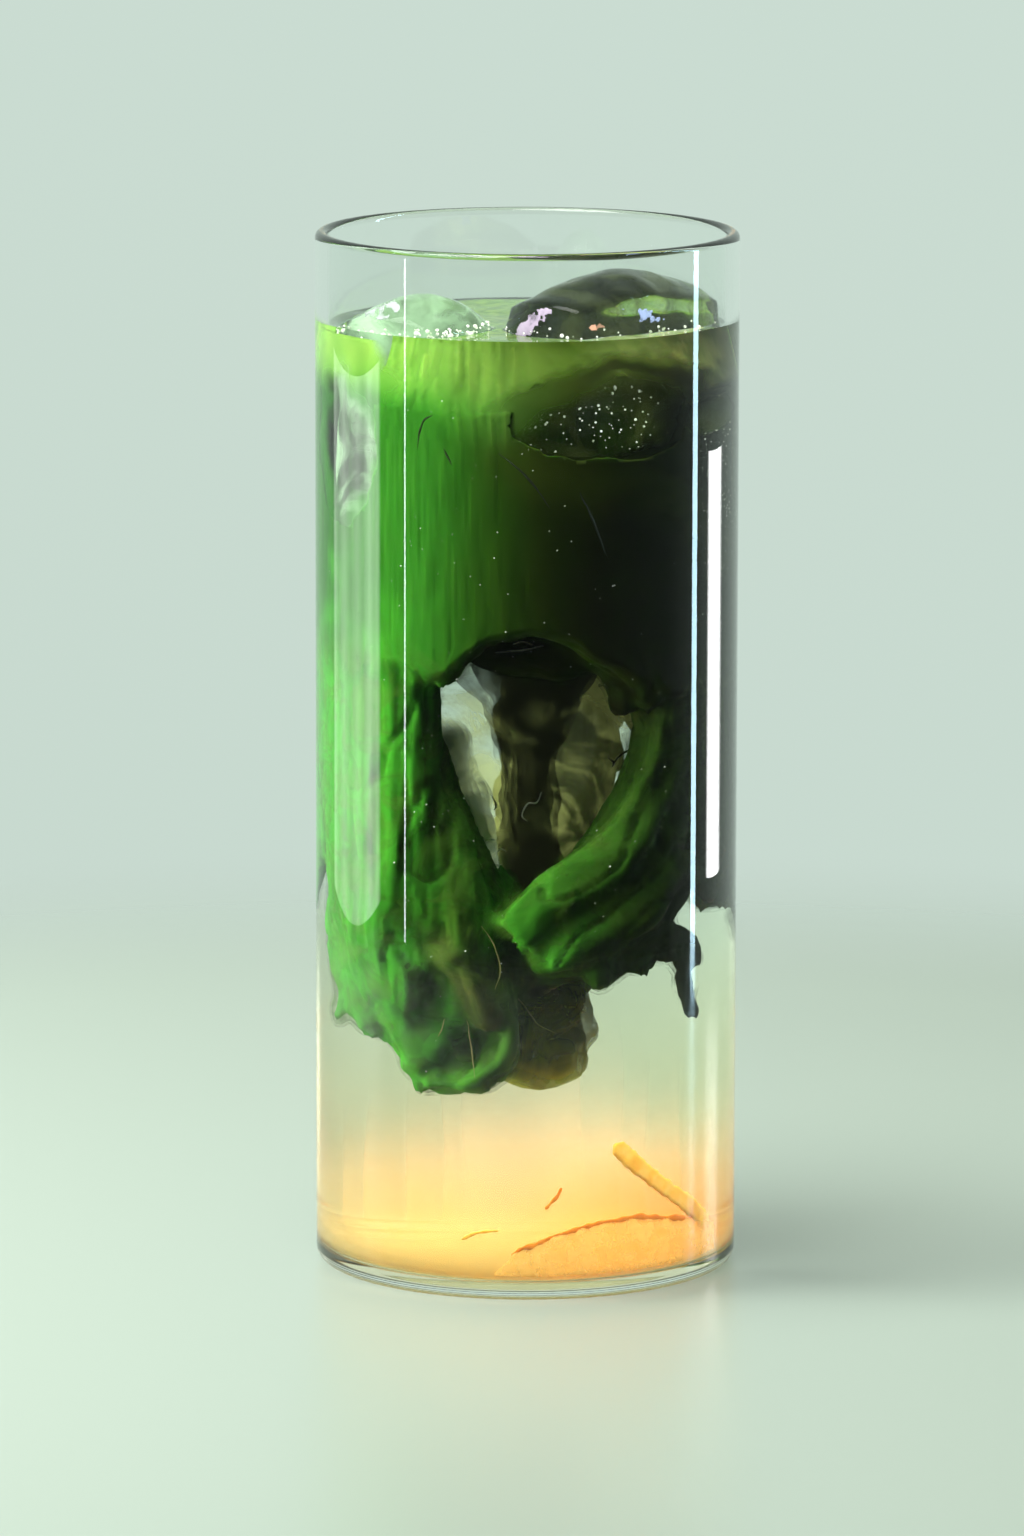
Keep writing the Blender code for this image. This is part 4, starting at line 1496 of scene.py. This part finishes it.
def joined(tree, kind, links, **settings):
    # A node with its inputs linked or set, by the sockets that are in use
    node = tree.nodes.new(kind)
    for key, value in settings.items():
        setattr(node, key, value)
    for key, value in links.items():
        socket = next(s for s in node.inputs if s.name == key and s.enabled and not s.is_linked)
        if isinstance(value, bpy.types.NodeSocket):
            tree.links.new(value, socket)
        else:
            socket.default_value = value
    return next(s for s in node.outputs if s.enabled)


def applyTree(obj, tree, values):
    modifier = obj.modifiers.new(tree.name, "NODES")
    modifier.node_group = tree
    for item in tree.interface.items_tree:
        if item.in_out == "INPUT" and item.name in values:
            modifier[item.identifier] = values[item.name]
    settle(obj)


def bubbleTree():
    tree, given, out = nodeTree("bubbleScatter", [("Amount", "Float", 1e6), ("Smallest", "Float", 0.1 * mm),
                                                  ("Largest", "Float", 0.3 * mm), ("Seed", "Int", 0),
                                                  ("Finish", "Material", None)])
    thick = joined(tree, "GeometryNodeInputNamedAttribute", {"Name": "thick"}, data_type="FLOAT")
    density = joined(tree, "ShaderNodeMath", {"Value": thick}, operation="MULTIPLY")
    tree.links.new(given["Amount"], density.node.inputs[1])
    spots = joined(tree, "GeometryNodeDistributePointsOnFaces",
                   {"Mesh": given["Geometry"], "Density": density, "Seed": given["Seed"]})
    chance = joined(tree, "FunctionNodeRandomValue", {"Seed": given["Seed"]}, data_type="FLOAT")
    small = joined(tree, "ShaderNodeMath", {"Value": chance}, operation="POWER")
    small.node.inputs[1].default_value = 2.5
    size = joined(tree, "ShaderNodeMapRange",
                  {"Value": small, "To Min": given["Smallest"], "To Max": given["Largest"]})
    ball = joined(tree, "GeometryNodeMeshUVSphere", {"Segments": 8, "Rings": 5, "Radius": 1.0})
    laid = joined(tree, "GeometryNodeInstanceOnPoints", {"Points": spots, "Instance": ball, "Scale": size})
    real = joined(tree, "GeometryNodeRealizeInstances", {"Geometry": laid})
    smooth = joined(tree, "GeometryNodeSetShadeSmooth", {"Geometry": real})
    finished = joined(tree, "GeometryNodeSetMaterial", {"Geometry": smooth, "Material": given["Finish"]})
    tree.links.new(finished, out["Geometry"])
    return tree


def threadTree():
    tree, given, out = nodeTree("matchaThread", [("Sides", "Int", 6), ("Finish", "Material", None)])
    curve = joined(tree, "GeometryNodeMeshToCurve", {"Mesh": given["Geometry"]})
    girth = joined(tree, "GeometryNodeInputNamedAttribute", {"Name": "girth"}, data_type="FLOAT")
    ring = joined(tree, "GeometryNodeCurvePrimitiveCircle", {"Resolution": given["Sides"], "Radius": 1.0})
    swept = joined(tree, "GeometryNodeCurveToMesh",
                   {"Curve": curve, "Profile Curve": ring, "Scale": girth, "Fill Caps": True})
    smooth = joined(tree, "GeometryNodeSetShadeSmooth", {"Geometry": swept})
    real = joined(tree, "GeometryNodeRealizeInstances", {"Geometry": smooth})
    finished = joined(tree, "GeometryNodeSetMaterial", {"Geometry": real, "Material": given["Finish"]})
    tree.links.new(finished, out["Geometry"])
    return tree


threads = {
    # thickness in millimetres, colour, and for each line its distance and its (angle, height) points
    "threadsDark": {"girth": 0.16, "colour": (0.012, 0.022, 0.004), "lines": [
        (28.95, [(-32.0, 124.3), (-31.4, 126.7), (-29.9, 128.5), (-27.2, 129.4)]),
        (28.95, [(-23.9, 124.6), (-22.7, 123.6), (-21.5, 122.4)]),
        (28.95, [(-8.2, 124.3), (-1.8, 121.8), (2.3, 119.4), (6.1, 116.4)]),
        (28.95, [(14.7, 118.6), (18.8, 114.2), (22.4, 109.4)]),
        (15.5, [(42.9, 76.6), (47.5, 77.8), (51.8, 78.4), (57.0, 78.8)]),
        (15.5, [(40.6, 77.8), (43.5, 77.0), (42.9, 76.3)])]},
    "threadsStraw": {"girth": 0.1, "colour": (0.3, 0.3, 0.09), "lines": [
        (22.5, [(-15.6, 54.4), (-10.9, 51.5), (-8.8, 48.0), (-10.6, 45.1)]),
        (17, [(-11.5, 44.9), (-2.2, 42.5), (4.9, 39.3), (13.3, 37.7)]),
        (27.5, [(-24.3, 41.0), (-25.2, 39.5), (-26.5, 38.3)]),
        (24.5, [(-19.2, 40.6), (-17.5, 36.0), (-16.5, 32.2)])]},
    # Painted highlights: pale lines and flecks for glints along the arch and on the ice in the gap
    "threadsLight": {"girth": 0.11, "colour": (0.75, 0.78, 0.62), "lines": [
        (18.5, [(6.2, 73.7), (4.1, 72.2), (0.4, 72.0), (-1.6, 70.3), (0.4, 69.5)]),
        (25.5, [(-9.6, 95.0), (-1.9, 95.3), (5.1, 96.0)]),
        (25.5, [(-4.1, 96.3), (-1.3, 96.5), (1.9, 96.2)]),
        (15.5, [(-19.3, 65.7), (-17.4, 66.2), (-14.4, 66.1)]),
        (15.5, [(-14.4, 64.1), (-12.0, 64.8), (-9.6, 64.6)]),
        (15.5, [(-18.3, 62.8), (-14.9, 62.4), (-11.5, 62.6)]),
        (15.5, [(-16.4, 72.8), (-14.4, 71.3), (-15.4, 70.5)])]},
}


def makeThreads():
    tree, made = threadTree(), []
    for name, spec in threads.items():
        points, edges, girths = [], [], []
        for distance, line in spec["lines"]:
            centre = smoothPath([polar(angle, distance, height) for angle, height in line], 24)
            first = len(points)
            for k, p in enumerate(centre):
                p = p + noise.noise_vector(p * 700) * 0.12 * mm
                p.xy *= min(1, (boreRadius - 0.1 * mm) / p.xy.length)
                points.append(p)
                swell = 0.25 + 0.75 * math.sin(math.pi * k / 23)
                girths.append(spec["girth"] * mm * swell * (1 + 0.5 * noise.noise(p * 900)))
            edges += [(first + k, first + k + 1) for k in range(23)]
        mesh = bpy.data.meshes.new(name)
        mesh.from_pydata(points, edges, [])
        store(mesh, "girth", girths)
        finish, nodes, shader = newMaterial(name)
        setInputs(shader, Base_Color=(*spec["colour"], 1), Roughness=0.6)
        obj = addPiece(name, mesh)
        applyTree(obj, tree, {"Finish": finish})
        forget(obj.data, ["girth"])
        print(name, len(obj.data.polygons))
        made.append(finishPiece(obj, shadow=False))
    return made


def bubbleGlintMaterial():
    # Painted highlight: the bubbles are painted as pale beads, for the light they catch in the drink
    finish, tree, shader = newMaterial("airBeads")
    coordinates = placeOf(tree)
    vary = noiseOn(tree, coordinates, Scale=700.0, Detail=1.0)
    tree.links.new(ramp(tree, vary, [(0.3, (0.45, 0.55, 0.35)), (0.65, (0.95, 1.0, 0.9))]),
                   shader.inputs["Base Color"])
    tree.links.new(mapRange(tree, vary, 0.3, 0.7, 0.35, 0.95), shader.inputs["Alpha"])
    setInputs(shader, Roughness=0.15, Specular_IOR_Level=0.8)
    return finish


bubbles = {
    # emitter, amount per square metre, radii in millimetres, seed; near is the (x, y, z) centre and the half
    # sizes of where they gather
    "iceBubbles": {"from": "iceRight", "amount": 8.0e5, "sizes": (0.08, 0.21), "seed": 2,
                   "near": ((9.0, -14.0, 127.5), (13.0, 12.0, 6.0)), "sink": 0.5},
    "iceBeads": {"from": "iceLeft", "amount": 2.4e6, "sizes": (0.16, 0.42), "seed": 5,
                 "near": ((-16.0, -12.0, 139.8), (16.0, 30.0, 0.8)), "sink": -0.05},
    "iceBeadsRight": {"from": "iceRight", "amount": 1.2e6, "sizes": (0.12, 0.34), "seed": 9,
                      "near": ((12.0, -12.0, 139.6), (26.0, 30.0, 0.6)), "sink": -0.05},
    "cloudSpecks": {"from": "matchaCloud", "amount": 6.0e4, "sizes": (0.05, 0.13), "seed": 7,
                    "near": ((-4.0, -25.0, 90.0), (30.0, 22.0, 60.0)), "sink": -0.04},
    "wallFizz": {"from": "matchaCloud", "amount": 9.0e5, "sizes": (0.05, 0.16), "seed": 12,
                 "near": ((26.0, -10.0, 116.0), (4.5, 9.0, 14.0)), "sink": -0.04},
}


def makeBubbles():
    tree, finish = bubbleTree(), bubbleGlintMaterial()
    made = []
    for name, spec in bubbles.items():
        obj = addPiece(name, bpy.data.objects[spec["from"]].data.copy())
        mesh = obj.data
        points, normals, edges = arrays(mesh)
        centre, half = (np.array(v) for v in spec["near"])
        away = np.sqrt((((points / mm - centre) / half) ** 2).sum(axis=1))
        thick = np.clip(1.35 - away, 0, 1) ** 1.5
        thick[normals[:, 1] > 0.35] = 0
        moved = points - normals * spec["sink"] * mm
        keepInside(moved, boreRadius - 0.08 * mm)
        place(mesh, moved)
        store(mesh, "thick", thick)
        smallest, largest = spec["sizes"]
        applyTree(obj, tree, {"Amount": spec["amount"], "Smallest": smallest * mm, "Largest": largest * mm,
                              "Seed": spec["seed"], "Finish": finish})
        forget(obj.data, ("thick", "tint", "streak", "broad", "marks"))
        print(name, len(obj.data.polygons))
        made.append(finishPiece(obj, shadow=False))
    return made


glints = {
    # x, height, half width, half height in millimetres, tilt, share kept, colour of the painted highlight
    "glintLilac": (0.9, 141.3, 2.6, 1.6, 0.75, 0.60, (0.44, 0.36, 0.48)),
    "glintBlue": (16.6, 142.0, 3.6, 1.5, -0.25, 0.26, (0.36, 0.46, 0.74)),
    "glintAmber": (10.0, 141.2, 1.5, 0.8, 0.2, 0.26, (0.85, 0.46, 0.30)),
    "glintLeft": (-21.0, 143.2, 2.9, 1.5, 0.1, 0.62, (0.46, 0.52, 0.49)),
}


def makeGlints(pieces):
    # Painted highlights: wet, broken patches of reflected light on the ice, as thin coloured flakes
    made = []
    trees = [BVHTree.FromObject(piece, bpy.context.evaluated_depsgraph_get()) for piece in pieces]
    for name, (x, height, wide, tall, tilt, share, colour) in glints.items():
        points, index, faces = [], {}, []
        size = 0.16
        columns, rows = int(wide / size), int((tall + abs(tilt) * wide) / size)
        for column in range(-columns, columns + 1):
            for row in range(-rows, rows + 1):
                across, up = column * size, row * size
                inside = 1 - (across / wide) ** 2 - ((up - across * tilt) / tall) ** 2
                grain = noise.noise(Vector((across * 0.55, up * 0.8, x)))
                grain += 0.6 * noise.noise(Vector((across * 1.7, up * 1.9, x + 7)))
                if inside + grain * 1.3 < 1 - share * 1.25 or inside < -0.1:
                    continue
                origin = Vector((x + across, -60, height + up)) * mm
                hits = [tree.ray_cast(origin, Vector((0, 1, 0))) for tree in trees]
                hits = [(hit[3], hit[0], hit[1]) for hit in hits if hit[0] is not None]
                if hits:
                    _, spot, normal = min(hits, key=lambda hit: hit[0])
                    index[column, row] = len(points)
                    points.append(spot + normal * 0.04 * mm)
        for (column, row), a in index.items():
            corners = [index.get((column + right, row + up))
                       for right, up in ((0, 0), (1, 0), (1, 1), (0, 1))]
            if None not in corners:
                faces.append(corners)
        mesh = meshFrom(name, points, faces)
        reshape(mesh, lambda shape: bmesh.ops.delete(
            shape, geom=[v for v in shape.verts if not v.link_faces], context="VERTS"))
        finish, tree, shader = newMaterial(name)
        coordinates = placeOf(tree)
        vary = noiseOn(tree, coordinates, Scale=500.0, Detail=2.0)
        tree.links.new(ramp(tree, vary, [(0.35, tuple(c * 0.7 for c in colour)), (0.6, colour)]),
                       shader.inputs["Base Color"])
        tree.links.new(mapRange(tree, vary, 0.3, 0.55, 0.3, 1.0), shader.inputs["Alpha"])
        setInputs(shader, Roughness=0.3)
        obj = addPiece(name, mesh, finish)
        solid = obj.modifiers.new("solid", "SOLIDIFY")
        solid.thickness = 0.06 * mm
        settle(obj)
        made.append(finishPiece(obj, shadow=False))
    return made


# Making

scene.view_settings.view_transform = "Standard"
scene.view_settings.look = "None"
scene.cycles.max_bounces = 24
scene.cycles.transmission_bounces = 20
scene.cycles.glossy_bounces = 16
scene.cycles.transparent_max_bounces = 32
scene.cycles.caustics_reflective = False
scene.cycles.caustics_refractive = False

makeCamera()
makeFloor()
makeWorld()
makeLamps()
print("camera, floor and lamps made")
makeGlass()
print("glass made")
iceFinish = iceMaterial("iceClear", 1.31, (0.93, 0.98, 0.96))
icePieces = [makeIce(name, spec, iceFinish) for name, spec in ice.items()]
cavities = [offsetCopy(piece, piece.name + "Cavity", -0.12 * mm) for piece in icePieces]
growth = [offsetCopy(piece, piece.name + "Room", cloud["iceGap"] * mm) for piece in icePieces]
for piece, spec in zip(icePieces, ice.values()):
    finishPiece(piece, [spec["node"]], shadow=False)
print("ice made")
makeDrink(cavities, drinkMaterial())
print("drink made")
matcha = [makeCloud(growth), makeFilm()]
print("cloud made")
icePieces.append(makeMiddleIce(iceFinish))
pale = [makeFrost(piece) for piece in icePieces]
pale += makeHaze()
pale += makeCitrus()
pale += makeGlints(icePieces[:2])
pale += makeBubbles()
makeThreads()
for name, spec in smokes.items():
    makeSmoke(name, spec)
print("frost, haze, citrus, bubbles and threads made")
lightOnly("fill", pale)
lightOnly("low", matcha)
lightOnly("iceGlow", [piece for piece in pale if piece.name == "iceMiddleFrost"], True)
lightOnly("leftGlow", [piece for piece in pale if piece.name == "iceLeftFrost"], True)
discard(*cavities, *growth)
